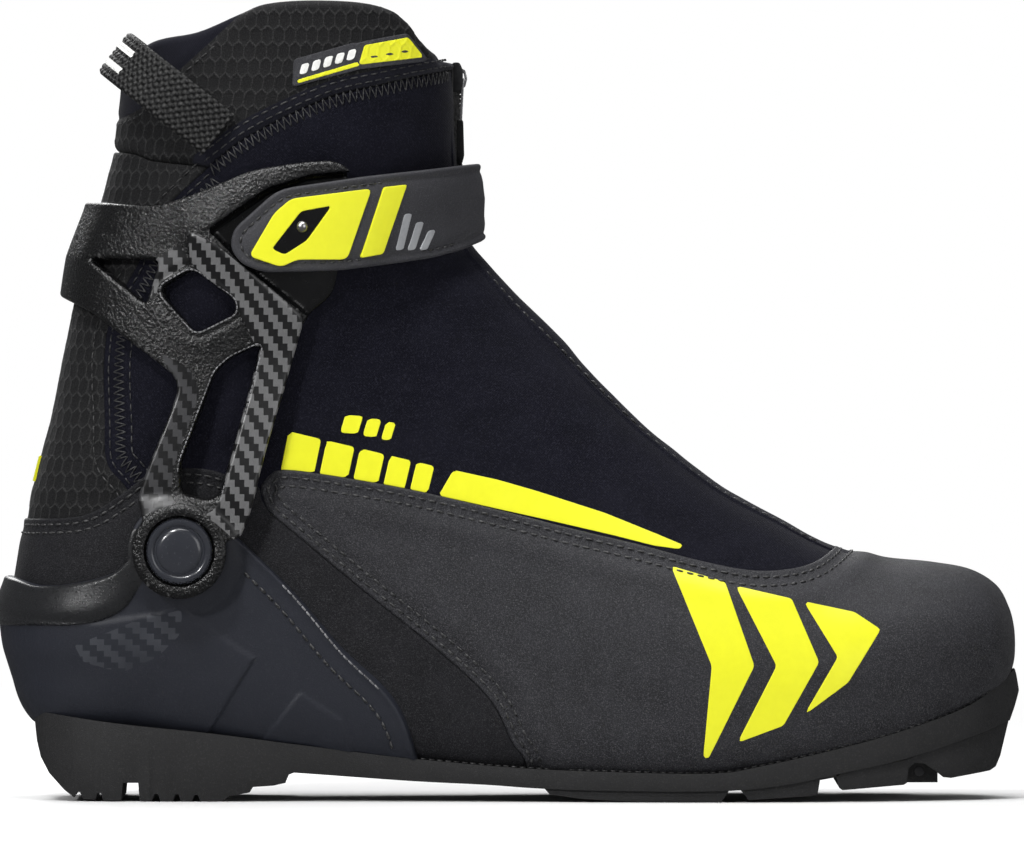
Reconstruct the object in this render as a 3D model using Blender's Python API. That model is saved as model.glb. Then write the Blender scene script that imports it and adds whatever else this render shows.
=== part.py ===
"""Cross-country skating boot for the right foot, size EU 42.

Lengths are in millimetres and become metres when a mesh is made. +X is the toe, -Y the lateral (outer)
side, +Y the medial side and +Z up. The ground is z = 0 and the origin is under the middle of the boot.

Every layer of the upper is the same foot shape, the last, grown or shrunk by a few millimetres: a section
of the last runs from the bottom or back of the foot to the top or front of it. A panel is one layer cut to
its outline in the side view.
"""

import math

import bpy
import numpy as np
from mathutils import Matrix

MM = 0.001
GAP = 0.3

# --- driving dimensions -----------------------------------------------------------------------------------
SKIN = (-1.5, 0.0)
STIFFENER = (-2.9, -1.8)
LINER = (-6.0, -3.2)
FOOTBED = (-9.9, -6.4)
HEEL_SHELL = (0.3, 2.8)
PATCH = (0.3, 0.9)
CUFF_THICKNESS = 3.2
CUFF_CLEARANCE = 1.2
ARM_CLEARANCE = 5.6
LOOP_PATCH = (4.7, 5.2)
STRAP_STANDOFF = 5.5
STRAP_THICKNESS = 2.0
BADGE_THICKNESS = 0.7

PIVOT = (-97.4, 73.6)
EAR_RADIUS = 15.0
EAR_FACE = 40.2
BOSS_RADIUS = 13.6
BOSS_FACES = (41.4, 47.4)
SHAFT_RADIUS = 5.0
CAP_RADIUS = 9.8
FLANGE_RADIUS = 8.0

TOE_BAR = (119.8, 8.4)
TOE_BAR_RADIUS = 1.75
TOE_BAR_HALF_LENGTH = 23.6

STRAP_FOLD = 40.0
LOOP_WIDTH = 15.0
LOOP_THICKNESS = 1.6
LOOP_ANCHOR = (-86.9, 196.4)
LOOP_TILT = math.radians(38.0)
LOOP_REACH = 38.0

# --- the last ---------------------------------------------------------------------------------------------
# One row per station from the toe tip, under the foot and round the heel, up to the collar:
# bottom or back (x, z), top or front (x, z), half width.
STATIONS = np.array(
    [
        (147.9, 45.0, 147.9, 45.0, 0.0),
        (147.3, 39.5, 147.5, 50.5, 8.0),
        (144.5, 32.5, 146.0, 56.0, 17.0),
        (139.0, 28.0, 142.5, 62.0, 25.5),
        (130.0, 23.5, 135.0, 66.5, 33.0),
        (118.0, 18.7, 124.0, 68.6, 39.5),
        (103.0, 14.2, 109.0, 70.2, 44.5),
        (86.0, 10.4, 93.0, 74.5, 47.3),
        (68.0, 7.2, 77.0, 83.0, 48.0),
        (48.0, 5.4, 60.0, 92.5, 47.0),
        (26.0, 5.6, 44.0, 105.0, 44.0),
        (2.0, 7.0, 29.0, 119.5, 40.5),
        (-24.0, 9.2, 15.0, 134.0, 38.0),
        (-52.0, 12.3, 3.0, 146.0, 36.8),
        (-82.0, 16.0, -6.6, 156.5, 36.2),
        (-112.0, 19.6, -12.3, 163.5, 36.0),
        (-134.0, 24.0, -14.6, 170.0, 36.0),
        (-144.0, 37.0, -15.7, 176.0, 36.0),
        (-147.4, 54.0, -16.4, 182.0, 36.2),
        (-145.5, 72.0, -16.8, 188.0, 36.8),
        (-141.5, 92.0, -17.0, 194.0, 37.4),
        (-136.2, 112.0, -17.0, 201.0, 38.0),
        (-131.8, 134.0, -17.0, 209.0, 38.4),
        (-127.0, 156.0, -17.0, 217.0, 38.8),
        (-120.8, 178.0, -17.2, 225.0, 39.0),
        (-115.6, 200.0, -17.4, 233.0, 39.2),
        (-114.0, 222.0, -17.5, 241.0, 39.4),
        (-113.5, 240.0, -17.5, 248.0, 39.5),
    ]
)
LAST_ROW = len(STATIONS) - 1
ROWS = np.arange(LAST_ROW + 1)
# Where a section is widest (0 bottom, 1 top) and how square its lower and upper halves are, by station.
WIDEST_ROWS = (0, 2, 5, 8, 13, 15, 17, 19, 21)
WIDEST = np.interp(ROWS, WIDEST_ROWS, (0.5, 0.45, 0.36, 0.33, 0.3, 0.33, 0.42, 0.48, 0.5))
SQUARE_LOW = np.interp(ROWS, (0, 2, 5, 12, 14, 16, 18, 27), (2.2, 3.0, 5.5, 6.0, 5.0, 3.2, 2.4, 2.3))
SQUARE_HIGH = np.interp(ROWS, (0, 5, 9, 11, 13, 16, 20), (2.2, 2.3, 2.0, 1.9, 1.95, 2.2, 2.4))
TOE_TURN = 6.0
TOE_TURN_FROM, TOE_TURN_TO = 20.0, 140.0

# --- side-view lines, (x, z) ------------------------------------------------------------------------------
VAMP_TOP = [(-74, 92), (-70.5, 96.4), (-64.6, 97.2), (-45, 94.3), (-26, 90.7), (0, 84.5), (16, 80.4)]
VAMP_TOP += [(36, 75.6), (55, 70.6), (70, 67.7), (82, 68), (90, 70.3), (98, 76)]
VAMP_BACK = [(-74, 92), (-71.4, 85.4), (-62.8, 78), (-45, 63.2), (-21, 44), (-6.6, 30.4), (0, 18)]
VAMP_BACK += [(4.3, 10.6), (6, -10)]
FOXING_TOP = [(-160, 82), (-142, 82.6), (-129, 83.3), (-122, 85.4), (-113, 91.3)]
FOXING_FRONT = [(-113, 91.3), (-105, 96.6), (-90, 97.5), (-74, 92)]
SHAFT_SEAM = [(-113, 91.3), (-119, 99), (-119.8, 110), (-119.5, 137), (-110, 158), (-103.3, 172)]
SHAFT_SEAM += [(-89.2, 186.2)]
COLLAR_SEAM = [(-89.2, 186.2), (-75.5, 196), (-55, 205.7), (-40.6, 209.5), (-17, 214.2), (8, 215)]
COLLAR_BACK = [(-89.2, 186.2), (-105.9, 188), (-115.8, 190.6), (-150, 191)]
HEEL_TAB_EDGE = [(-150, 199), (-114.5, 200.6), (-95.3, 216.3), (-79, 231.5)]
RIM_FRONT = [(8, 217.5), (-17, 217), (-22, 219.5), (-27, 224), (-31, 229), (-36, 232.5), (-45, 234.5)]
RIM_FRONT += [(-60, 235), (-72, 234), (-79, 231.5)]
RIM_BACK = [(-79, 231.5), (-92, 226), (-103, 224), (-108, 222), (-114.5, 217.5), (-150, 216)]
FEATHER = [(-141, 26.4), (-116.4, 22.8), (-89.4, 20), (-62.8, 16.6), (-31, 12.7), (0, 10), (25.6, 8.9)]
FEATHER += [(58.4, 8.4), (72.5, 10.4), (93.8, 15.1), (113.7, 20.4), (134.9, 28.1), (148.6, 38)]
PLATE_UNDERSIDE = [(147, 23), (135, 18.5), (115, 12.3), (95, 8), (80, 5), (62, 3.3), (30, 3.3)]
PLATE_UNDERSIDE += [(8, 3.9), (-7, 4.9), (-30, 6), (-64, 8.4), (-90, 12.6), (-112, 15.5), (-140.5, 18)]
# Sole plan: x, then how far the edge lies to the lateral and the medial side of the centreline.
SOLE_PLAN = [(-140, 17, 17), (-134, 26, 26), (-124, 32, 32), (-105, 35, 35), (-80, 34.5, 34)]
SOLE_PLAN += [(-52, 34.5, 32), (-24, 36.5, 33), (2, 39.5, 36.5), (26, 43, 41.5), (48, 46, 46)]
SOLE_PLAN += [(68, 47, 47), (86, 46.5, 46.5), (103, 44, 44), (118, 39.5, 39.5), (130, 33.5, 33.5)]
SOLE_PLAN += [(139, 26, 26), (146, 14, 14)]

CUFF_OUTLINE = [(-119.5, 175), (-103, 173.7), (-92.7, 177.2), (-76.3, 184.6), (-62.7, 187.1)]
CUFF_OUTLINE += [(-53.4, 187.8), (-48.7, 184.1), (-52, 154.8), (-53.4, 148.5), (-62.2, 141)]
CUFF_OUTLINE += [(-64.4, 132.7), (-67.2, 122.9), (-71.3, 110.3), (-75.5, 97.8), (-79, 87.3), (-84, 76)]
CUFF_OUTLINE += [(-97.4, 66), (-109, 78), (-105.5, 93.6), (-99.2, 111.8), (-96.8, 120.1)]
CUFF_OUTLINE += [(-97.8, 124.3), (-109, 133.4), (-120.1, 142.6), (-133, 149), (-138, 160), (-130, 175)]
ARM_SLOT = [(-95.4, 91.5), (-88.1, 90.1), (-85.3, 92.2), (-76.9, 122.2), (-73.9, 134), (-82.5, 129.9)]
ARM_SLOT += [(-86.7, 125.7), (-89.1, 118.7), (-95.7, 99.2)]
CUFF_WINDOW = [(-101, 150.8), (-93.7, 155.3), (-91.5, 155), (-81.1, 146.6), (-80.8, 142.8)]
CUFF_WINDOW += [(-91.9, 136.8), (-101, 148)]
REAR_WINDOW = [(-121, 158.5), (-101.5, 158.5), (-105.5, 145)]
STRAP_OUTLINE = [(4, 189.5), (-9.6, 187.8), (-47.1, 183), (-69.2, 179), (-81, 167), (-81.9, 161.8)]
STRAP_OUTLINE += [(-79.3, 157.3), (-73.7, 154.5), (-52.8, 155.3), (-24.5, 159.5), (-7.5, 163.5)]
STRAP_OUTLINE += [(4, 165)]
BADGE_REAR = [(-69.7, 172.5), (-64.7, 176.8), (-41.2, 179.8), (-48.4, 159), (-62.9, 159)]
BADGE_REAR += [(-67.5, 156.8), (-77, 160)]
BADGE_FRONT = [(-37.7, 180.2), (-30.9, 181), (-37.9, 160.6), (-44.6, 159.4)]
BADGE_WINDOW = [(-70.3, 162.1), (-61.8, 173.1), (-52.8, 174.8), (-60.1, 164.6), (-66.6, 160.4)]
STRAP_RIVET = (-61.5, 168.6)

MATERIALS = {
    "softshell": ((0.010, 0.011, 0.020), 0.85, 0.0),
    "synthetic": ((0.022, 0.022, 0.024), 0.60, 0.0),
    "mesh": ((0.012, 0.012, 0.014), 0.80, 0.0),
    "lining": ((0.014, 0.016, 0.030), 0.75, 0.0),
    "tpu": ((0.024, 0.027, 0.035), 0.40, 0.0),
    "cuff_plastic": ((0.012, 0.012, 0.013), 0.28, 0.0),
    "rubber": ((0.014, 0.014, 0.015), 0.55, 0.0),
    "board": ((0.25, 0.22, 0.18), 0.80, 0.0),
    "foam": ((0.05, 0.05, 0.06), 0.90, 0.0),
    "strap": ((0.020, 0.020, 0.022), 0.55, 0.0),
    "yellow": ((0.72, 0.80, 0.02), 0.45, 0.0),
    "webbing": ((0.012, 0.012, 0.013), 0.80, 0.0),
    "steel": ((0.60, 0.60, 0.62), 0.30, 1.0),
    "velcro": ((0.015, 0.015, 0.016), 0.95, 0.0),
}


# --- the last as a surface --------------------------------------------------------------------------------
def at_station(column, u):
    """A station column read at any station number, on a smooth curve through its rows."""
    ends = (2 * column[0] - column[1], 2 * column[-1] - column[-2])
    padded = np.concatenate([ends[:1], column, ends[1:]])
    row = np.clip(np.floor(u).astype(int), 0, LAST_ROW - 1)
    t = u - row
    a, b, c, d = (padded[row + shift] for shift in range(4))
    return 0.5 * (2 * b + (c - a) * t + (2 * a - 5 * b + 4 * c - d) * t**2 + (3 * b - a - 3 * c + d) * t**3)


def side_curve(first_column, side, u):
    """Points of the bottom/back or top/front line at stations u, and their outward directions."""
    step = 0.02
    x, z = at_station(STATIONS[:, first_column], u), at_station(STATIONS[:, first_column + 1], u)
    ahead, behind = np.minimum(u + step, LAST_ROW), np.maximum(u - step, 0)
    dx = at_station(STATIONS[:, first_column], ahead) - at_station(STATIONS[:, first_column], behind)
    dz = at_station(STATIONS[:, first_column + 1], ahead) - at_station(STATIONS[:, first_column + 1], behind)
    length = np.hypot(dx, dz)
    return x, z, side * dz / length, -side * dx / length


def centreline(x):
    """How far the foot's middle line turns to the medial side towards the toe."""
    ramp = np.clip((x - TOE_TURN_FROM) / (TOE_TURN_TO - TOE_TURN_FROM), 0, 1)
    return TOE_TURN * ramp * ramp * (3 - 2 * ramp)


def last_points(u, phi, grow):
    """Points of the last grown by grow; phi in degrees runs from the top line over the lateral side."""
    u, phi = np.broadcast_arrays(np.asarray(u, float), np.radians(np.asarray(phi, float)))
    x0, z0, nx0, nz0 = side_curve(0, -1, u)
    x1, z1, nx1, nz1 = side_curve(2, 1, u)
    x0, z0, x1, z1 = x0 + grow * nx0, z0 + grow * nz0, x1 + grow * nx1, z1 + grow * nz1
    half = np.maximum(at_station(STATIONS[:, 4], u), 0)
    width = np.where(u > 0, np.maximum(half + grow, 0.35 * half), 0)
    widest = at_station(WIDEST, u)
    upper = np.cos(phi) >= 0
    power = np.where(upper, at_station(SQUARE_HIGH, u), at_station(SQUARE_LOW, u))
    radius = (np.abs(np.cos(phi)) ** power + np.abs(np.sin(phi)) ** power) ** (-1 / power)
    t = widest + radius * np.cos(phi) * np.where(upper, 1 - widest, widest)
    x, z = x0 + (x1 - x0) * t, z0 + (z1 - z0) * t
    y = centreline(x) - width * radius * np.sin(phi)
    return np.stack([x, y, z], axis=-1)


def half_width_at(x, z):
    """Half width of the last at a point of the side view behind the toe turn."""
    u, phi = np.meshgrid(np.linspace(9, LAST_ROW, 361), np.linspace(4, 176, 173), indexing="ij")
    points = last_points(u, phi, 0.0).reshape(-1, 3)
    nearest = np.argmin((points[:, 0] - x) ** 2 + (points[:, 2] - z) ** 2)
    return -points[nearest, 1]


def across(side, near, far):
    """The range between two distances from the middle on one side, low value first."""
    return tuple(sorted((side * near, side * far)))


# --- making objects ---------------------------------------------------------------------------------------
def material(name):
    existing = bpy.data.materials.get(name)
    if existing:
        return existing
    colour, roughness, metallic = MATERIALS[name]
    made = bpy.data.materials.new(name)
    made.use_nodes = True
    shader = made.node_tree.nodes["Principled BSDF"]
    shader.inputs["Base Color"].default_value = (*colour, 1)
    shader.inputs["Roughness"].default_value = roughness
    shader.inputs["Metallic"].default_value = metallic
    made.diffuse_color = (*colour, 1)
    return made


def mesh_object(name, points, faces, look=None):
    """An object from points in millimetres; look names its material."""
    mesh = bpy.data.meshes.new(name)
    mesh.from_pydata([tuple(float(c) * MM for c in p) for p in points], [], faces)
    piece = bpy.data.objects.new(name, mesh)
    bpy.context.scene.collection.objects.link(piece)
    if look:
        mesh.materials.append(material(look))
    return piece


def boolean(piece, *cutters, operation="DIFFERENCE"):
    for cutter in cutters:
        modifier = piece.modifiers.new(cutter.name, "BOOLEAN")
        modifier.object = cutter
        modifier.operation = operation
        modifier.solver = "EXACT"
        cutter.hide_render = True
        cutter.display_type = "WIRE"
    return piece


def round_edges(piece, width, segments=2, angle=40):
    bevel = piece.modifiers.new("rounded_edges", "BEVEL")
    bevel.width = width * MM
    bevel.segments = segments
    bevel.limit_method = "ANGLE"
    bevel.angle_limit = math.radians(angle)
    return piece


def extrusion(name, outline, place, look=None):
    """A closed solid between place(point, 0) and place(point, 1) of each point of a flat outline."""
    count = len(outline)
    points = [place(p, 0) for p in outline] + [place(p, 1) for p in outline]
    faces = [tuple(range(count)), tuple(range(2 * count - 1, count - 1, -1))]
    faces += [(i, i + count, (i + 1) % count + count, (i + 1) % count) for i in range(count)]
    ends = np.array([points[0], points[1], points[count]])
    along = ends[2] - ends[0]
    spokes = [np.array(points[i % count]) - ends[0] for i in range(count + 1)]
    area = sum(np.cross(spokes[i], spokes[i + 1]) for i in range(count))
    if np.dot(area, along) > 0:
        faces = [face[::-1] for face in faces]
    return mesh_object(name, points, faces, look)


def prism(name, outline, y0=-70.0, y1=70.0, look=None):
    """A side-view outline extruded across the boot."""
    return extrusion(name, outline, lambda p, end: (p[0], (y0, y1)[end], p[1]), look)


def rod(name, centre, radius, y0, y1, sides=32, look=None):
    """A round bar across the boot at a side-view centre."""
    angles = [2 * math.pi * k / sides for k in range(sides)]
    outline = [(centre[0] + radius * math.cos(a), centre[1] + radius * math.sin(a)) for a in angles]
    return prism(name, outline, y0, y1, look)


def block(name, low, high, look=None):
    outline = [(low[0], low[1]), (high[0], low[1]), (high[0], high[1]), (low[0], high[1])]
    return extrusion(name, outline, lambda p, end: (p[0], p[1], (low[2], high[2])[end]), look)


def inset(outline, distance=GAP / 2):
    """A closed outline with every edge moved inwards by distance."""
    points = np.array(outline, float)
    ahead = np.roll(points, -1, axis=0)
    if np.sum(points[:, 0] * ahead[:, 1] - ahead[:, 0] * points[:, 1]) < 0:
        points = points[::-1]
        ahead = np.roll(points, -1, axis=0)
    edges = ahead - points
    normals = np.stack([-edges[:, 1], edges[:, 0]], axis=1) / np.linalg.norm(edges, axis=1)[:, None]
    before = np.roll(normals, 1, axis=0)
    mitre = (normals + before) / (1 + np.sum(normals * before, axis=1))[:, None]
    return [tuple(p) for p in points + distance * mitre]


def shell(name, rows, angles, layer, look, keep=None):
    """A closed skin between two growths of the last, over the cells (row, angle) that keep accepts."""
    inner, outer = layer
    u, phi = np.meshgrid(rows, angles, indexing="ij")
    flat = last_points(u, phi, 0)
    growths = [grow(flat) if callable(grow) else grow for grow in (outer, inner)]
    grids = [last_points(u, phi, grow) for grow in growths]
    ring = abs(angles[-1] - angles[0] - 360) < 1e-6
    columns = len(angles) - 1
    points, numbers, faces = [], {}, []

    def vertex(side, i, j):
        key = (side, i, j % columns if ring else j)
        if rows[i] == 0:
            key = (side, 0, 0)
        if key not in numbers:
            numbers[key] = len(points)
            whole_row = grids[side][i]
            points.append(whole_row.mean(axis=0) if rows[i] == 0 else whole_row[key[2]])
        return numbers[key]

    def kept(i, j):
        if ring:
            j %= columns
        inside = 0 <= i < len(rows) - 1 and 0 <= j < columns
        if not inside or keep is None:
            return inside
        return keep((rows[i] + rows[i + 1]) / 2, (angles[j] + angles[j + 1]) / 2)

    def add(*corners):
        """A quad as two triangles split at its first corner, or one triangle at the toe tip."""
        for triangle in (corners[:3], (corners[0], *corners[2:])):
            if len(set(triangle)) == 3:
                faces.append(triangle)

    for i in range(len(rows) - 1):
        for j in range(columns):
            if not kept(i, j):
                continue
            corners = [(i, j), (i + 1, j), (i + 1, j + 1), (i, j + 1)]
            neighbours = [(i, j - 1), (i + 1, j), (i, j + 1), (i - 1, j)]
            add(*(vertex(0, *corner) for corner in corners))
            add(*(vertex(1, *corners[k]) for k in (0, 3, 2, 1)))
            for k, neighbour in enumerate(neighbours):
                a, b = corners[k], corners[(k + 1) % 4]
                at_tip = rows[a[0]] == 0 and rows[b[0]] == 0
                if not kept(*neighbour) and not at_tip:
                    add(vertex(0, *b), vertex(0, *a), vertex(1, *a), vertex(1, *b))
    return mesh_object(name, points, faces, look)


def last_solid(name, grow):
    """The filled last, closed at the top, as a cutter."""
    rows, columns = GRID_ROWS, 24
    grid = last_points(*np.meshgrid(rows, np.arange(columns) * 360 / columns, indexing="ij"), grow)
    points = [grid[0].mean(axis=0)] + [p for row in grid[1:] for p in row]
    faces = [(0, 1 + j, 1 + (j + 1) % columns) for j in range(columns)]
    for i in range(len(rows) - 2):
        for j in range(columns):
            a, b = 1 + i * columns + j, 1 + i * columns + (j + 1) % columns
            faces += [(a, a + columns, b + columns), (a, b + columns, b)]
    faces.append(tuple(range(len(points) - 1, len(points) - columns - 1, -1)))
    return mesh_object(name, points, faces)


GRID_ROWS = np.array((0, 1, 2, 3, 4.5, 6, 8, 10, 12, 14, 15, 16, 17, 18, 20, 22, 24, 26, 27))
FULL_TURN = np.arange(0, 361, 15)


def grid_rows(first, last):
    return GRID_ROWS[(GRID_ROWS >= first) & (GRID_ROWS <= last)]


def panel(name, outline, look):
    """One panel of the outer skin, with half a seam gap all round."""
    skin = shell(name, GRID_ROWS, FULL_TURN, SKIN, look)
    return boolean(skin, prism(name + "_outline", inset(outline)), operation="INTERSECT")


# --- the upper --------------------------------------------------------------------------------------------
def make_upper():
    panel("vamp", VAMP_TOP + [(110, 100), (170, 100), (170, -10)] + VAMP_BACK[:0:-1], "synthetic")
    panel("heel_foxing", FOXING_TOP + FOXING_FRONT[1:-1] + VAMP_BACK + [(-160, -10)], "synthetic")
    softshell_edge = FOXING_FRONT[:-1] + VAMP_TOP + [(120, 110), (30, 190), (12, 216)]
    softshell = panel("softshell", softshell_edge + COLLAR_SEAM[:0:-1] + SHAFT_SEAM[:0:-1], "softshell")
    panel("achilles_panel", FOXING_TOP + SHAFT_SEAM[1:-1] + COLLAR_BACK + [(-160, 150)], "mesh")
    collar = panel("collar", COLLAR_SEAM + RIM_FRONT + HEEL_TAB_EDGE[-2::-1] + COLLAR_BACK[:0:-1], "mesh")
    panel("heel_tab", HEEL_TAB_EDGE + RIM_BACK[1:], "lining")
    boolean(softshell, block("zip_opening", (-40, -3.2, 165), (12, 3.2, 250)))
    boolean(collar, bpy.data.objects["zip_opening"])
    tapes = shell("zip_chain", np.linspace(15, 27, 13), np.array([-4.3, 0, 4.3]), (-1.5, 0.7), "webbing")
    zip_length = [(-60, 166), (20, 166), (20, 216.8), (-60, 216.8)]
    boolean(tapes, prism("zip_length", zip_length), operation="INTERSECT")


def make_reinforcements():
    """Stiff pieces between the outer skin and the liner."""
    shell("lasting_board", grid_rows(2, 15), np.arange(135, 226, 15), STIFFENER, "board")
    shell("toe_puff", grid_rows(1, 6), np.arange(-120, 121, 15), STIFFENER, "board")
    shell("heel_counter", grid_rows(16, 20), np.arange(105, 256, 15), STIFFENER, "board")
    for side, name in ((1, "eyestay_lateral"), (-1, "eyestay_medial")):
        stay = shell(name, grid_rows(8, 14), np.array(across(side, 30, 45)), STIFFENER, "synthetic")
        for number, row in enumerate(np.linspace(9, 13.4, 4)):
            boolean(stay, eyelet(f"{name}_eyelet_{number}", row, side * 37.5))


def eyelet(name, row, angle):
    """A short round cutter square to the last at one place."""
    centre = last_points(row, angle, -2.4)
    outward = last_points(row, angle, 4.0) - centre
    outward = outward / np.linalg.norm(outward)
    across = np.cross(outward, (0, 1, 0))
    across = across / np.linalg.norm(across)
    up = np.cross(outward, across)
    circle = [(2.2 * math.cos(k * math.pi / 4), 2.2 * math.sin(k * math.pi / 4)) for k in range(8)]
    def place(p, end):
        return centre + p[0] * across + p[1] * up + (-4, 4)[end] * outward

    return extrusion(name, circle, place)


def panel_grid(values, first, last, margin):
    """The grid values between first and last, with the two ends drawn in by half a seam gap."""
    inner = values[(values > first) & (values < last)]
    return np.concatenate([[first + margin], inner, [last - margin]])


def lining_panel(name, rows, angles, look="lining"):
    """One sewn panel of the lining, between two stations and two angles, cut off at the rim."""
    u = panel_grid(GRID_ROWS, *rows, 0.025)
    if rows[0] == 0:
        u[0] = 0
    whole_turn = angles[1] - angles[0] == 360
    turn = np.arange(-360, 361, 15)
    phi = turn[(turn >= angles[0]) & (turn <= angles[1])] if whole_turn else panel_grid(turn, *angles, 0.25)
    piece = shell(name, u, phi, LINER, look)
    edge = RIM_FRONT + RIM_BACK[1:] + [(-160, -10), (170, -10), (170, 200), (20, 217.5)]
    boolean(piece, prism(name + "_rim", inset(edge)), operation="INTERSECT")


def make_lining():
    throat = 30
    lining_panel("liner_toe", (0, 4.5), (0, 360))
    lining_panel("liner_sole", (4.5, 15), (135, 225))
    lining_panel("liner_heel", (15, 20), (135, 225))
    lining_panel("liner_back", (20, LAST_ROW), (135, 225))
    for name, (first, last) in (("lateral", (0, 135)), ("medial", (-135, 0))):
        lining_panel(f"liner_forefoot_{name}", (4.5, 8), (first, last))
        beside_throat = (throat, last) if name == "lateral" else (first, -throat)
        lining_panel(f"liner_quarter_{name}", (8, 15), beside_throat)
        lining_panel(f"liner_shaft_{name}", (15, LAST_ROW), beside_throat)
    lining_panel("tongue", (8, LAST_ROW), (-throat, throat), "foam")
    shell("footbed", grid_rows(2, 16), np.arange(135, 226, 15), FOOTBED, "foam")


# --- the sole ---------------------------------------------------------------------------------------------
def sole_plan(steps=3):
    """The sole's outline from above, smooth through its stations."""
    lateral = [(x, centreline(x) - left) for x, left, _ in SOLE_PLAN]
    medial = [(x, centreline(x) + right) for x, _, right in reversed(SOLE_PLAN)]
    ring = np.array([(-141.5, 0), *lateral, (150, centreline(150)), *medial])
    outline = []
    for k in range(len(ring)):
        a, b, c, d = (ring[(k + shift) % len(ring)] for shift in (-1, 0, 1, 2))
        for t in np.arange(steps) / steps:
            curve = 2 * b + (c - a) * t + (2 * a - 5 * b + 4 * c - d) * t**2
            outline.append(0.5 * (curve + (3 * b - a - 3 * c + d) * t**3))
    return outline


def sole_piece(name, profile, look="rubber"):
    """A piece of the sole: its side profile, inside the sole's plan and clear of the upper."""
    piece = prism(name, profile, look=look)
    plan = extrusion(name + "_plan", sole_plan(), lambda p, end: (p[0], p[1], (-5, 60)[end]))
    boolean(piece, plan, operation="INTERSECT")
    return piece


def lowered(line, drop=GAP):
    return [(x, z - drop) for x, z in line]


def between(line, x0, x1):
    """The part of a line that runs towards -X from x1 to x0."""
    xs, zs = zip(*sorted(line))
    inner = [p for p in line if x0 < p[0] < x1]
    return [(x1, float(np.interp(x1, xs, zs))), *inner, (x0, float(np.interp(x0, xs, zs)))]


def make_sole():
    nose = [(149.4, 36), (150, 31.6), (148.5, 26.9)]
    plate = sole_piece("sole_plate", FEATHER + nose + PLATE_UNDERSIDE)
    boolean(plate, last_solid("foot_room", GAP))
    seat = lowered(PLATE_UNDERSIDE)

    heel_bottom = [(-138.7, 12.7), (-136.1, 8), (-131.7, 3.3), (-129, 0), (-114.2, 0), (-114.2, 5.6)]
    heel_bottom += [(-109.5, 5.6), (-109.5, 0), (-84, 0), (-70, 5), (-66, 7.4)]
    heel = sole_piece("heel_tread", between(seat, -139.9, -65.5) + heel_bottom)
    lugs = [(11, 2.4), (30, 0), (62, 0), (63, 1.6), (68, 1.8), (69, 0.3), (89, 1.8), (89.7, 5.2), (95.4, 6)]
    forefoot = sole_piece("forefoot_tread", between(seat, 9.5, 95.4) + lugs)
    toe_bottom = [(96, 3.3), (115.5, 4.8), (115.7, 10.8), (124.6, 10.8), (126.7, 6.6), (140.8, 8.5)]
    toe_bottom += [(143.2, 11), (144, 12.7), (145.2, 17.4), (146.4, 22)]
    toe = sole_piece("toe_binding_block", between(seat, 96, 146.4) + toe_bottom)

    for side in (-1, 1):
        groove = (side * 10 - 3, side * 10 + 3)
        boolean(heel, block(f"heel_groove_{side}", (-150, groove[0], -5), (-60, groove[1], 6)))
        boolean(forefoot, block(f"forefoot_groove_{side}", (0, groove[0], -5), (96, groove[1], 1.7)))
        boolean(toe, block(f"toe_groove_{side}", (90, groove[0], -5), (116, groove[1], 8.2)))
        cheek = block(f"toe_bar_cheek_{side}", (115, side * 21.5 - 2, 5.2), (125.2, side * 21.5 + 2, 11.5))
        boolean(toe, cheek, operation="UNION")
    boolean(toe, rod("toe_bar_bore", TOE_BAR, TOE_BAR_RADIUS + GAP, -26, 26, 16))
    bar = rod("toe_bar", TOE_BAR, TOE_BAR_RADIUS, -TOE_BAR_HALF_LENGTH, TOE_BAR_HALF_LENGTH, 16, "steel")
    round_edges(bar, 0.4, 1)


# --- the heel shell and its pivots ------------------------------------------------------------------------
def make_heel_shell():
    edge = [(-160, 26.9), (-139.3, 26.8), (-116.4, 23.3), (-89.4, 20.5), (-62.8, 17.1), (-27.6, 12.9)]
    edge += [(-31.8, 25.7), (-37.7, 34.3), (-50.1, 45.8), (-64.6, 62.3), (-83, 80), (-97.4, 82)]
    edge += [(-111, 72), (-116.3, 67.4), (-126, 64.4), (-137.3, 63.2), (-147, 65.3), (-160, 65.3)]
    piece = shell("heel_shell", grid_rows(10, 22), np.arange(75, 286, 15), HEEL_SHELL, "tpu")
    boolean(piece, prism("heel_shell_outline", edge), operation="INTERSECT")
    for side in (-1, 1):
        ear = rod(f"ear_{side}", PIVOT, EAR_RADIUS, *across(side, 30, EAR_FACE), 28)
        boolean(piece, ear, operation="UNION")
    boolean(piece, last_solid("heel_room", HEEL_SHELL[0]))
    for side in (-1, 1):
        reach = across(side, 20, EAR_FACE - 1.5)
        boolean(piece, rod(f"flange_pocket_{side}", PIVOT, FLANGE_RADIUS + GAP, *reach, 24))
        boolean(piece, rod(f"ear_bore_{side}", PIVOT, SHAFT_RADIUS + GAP, *across(side, 20, 60), 16))


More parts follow.
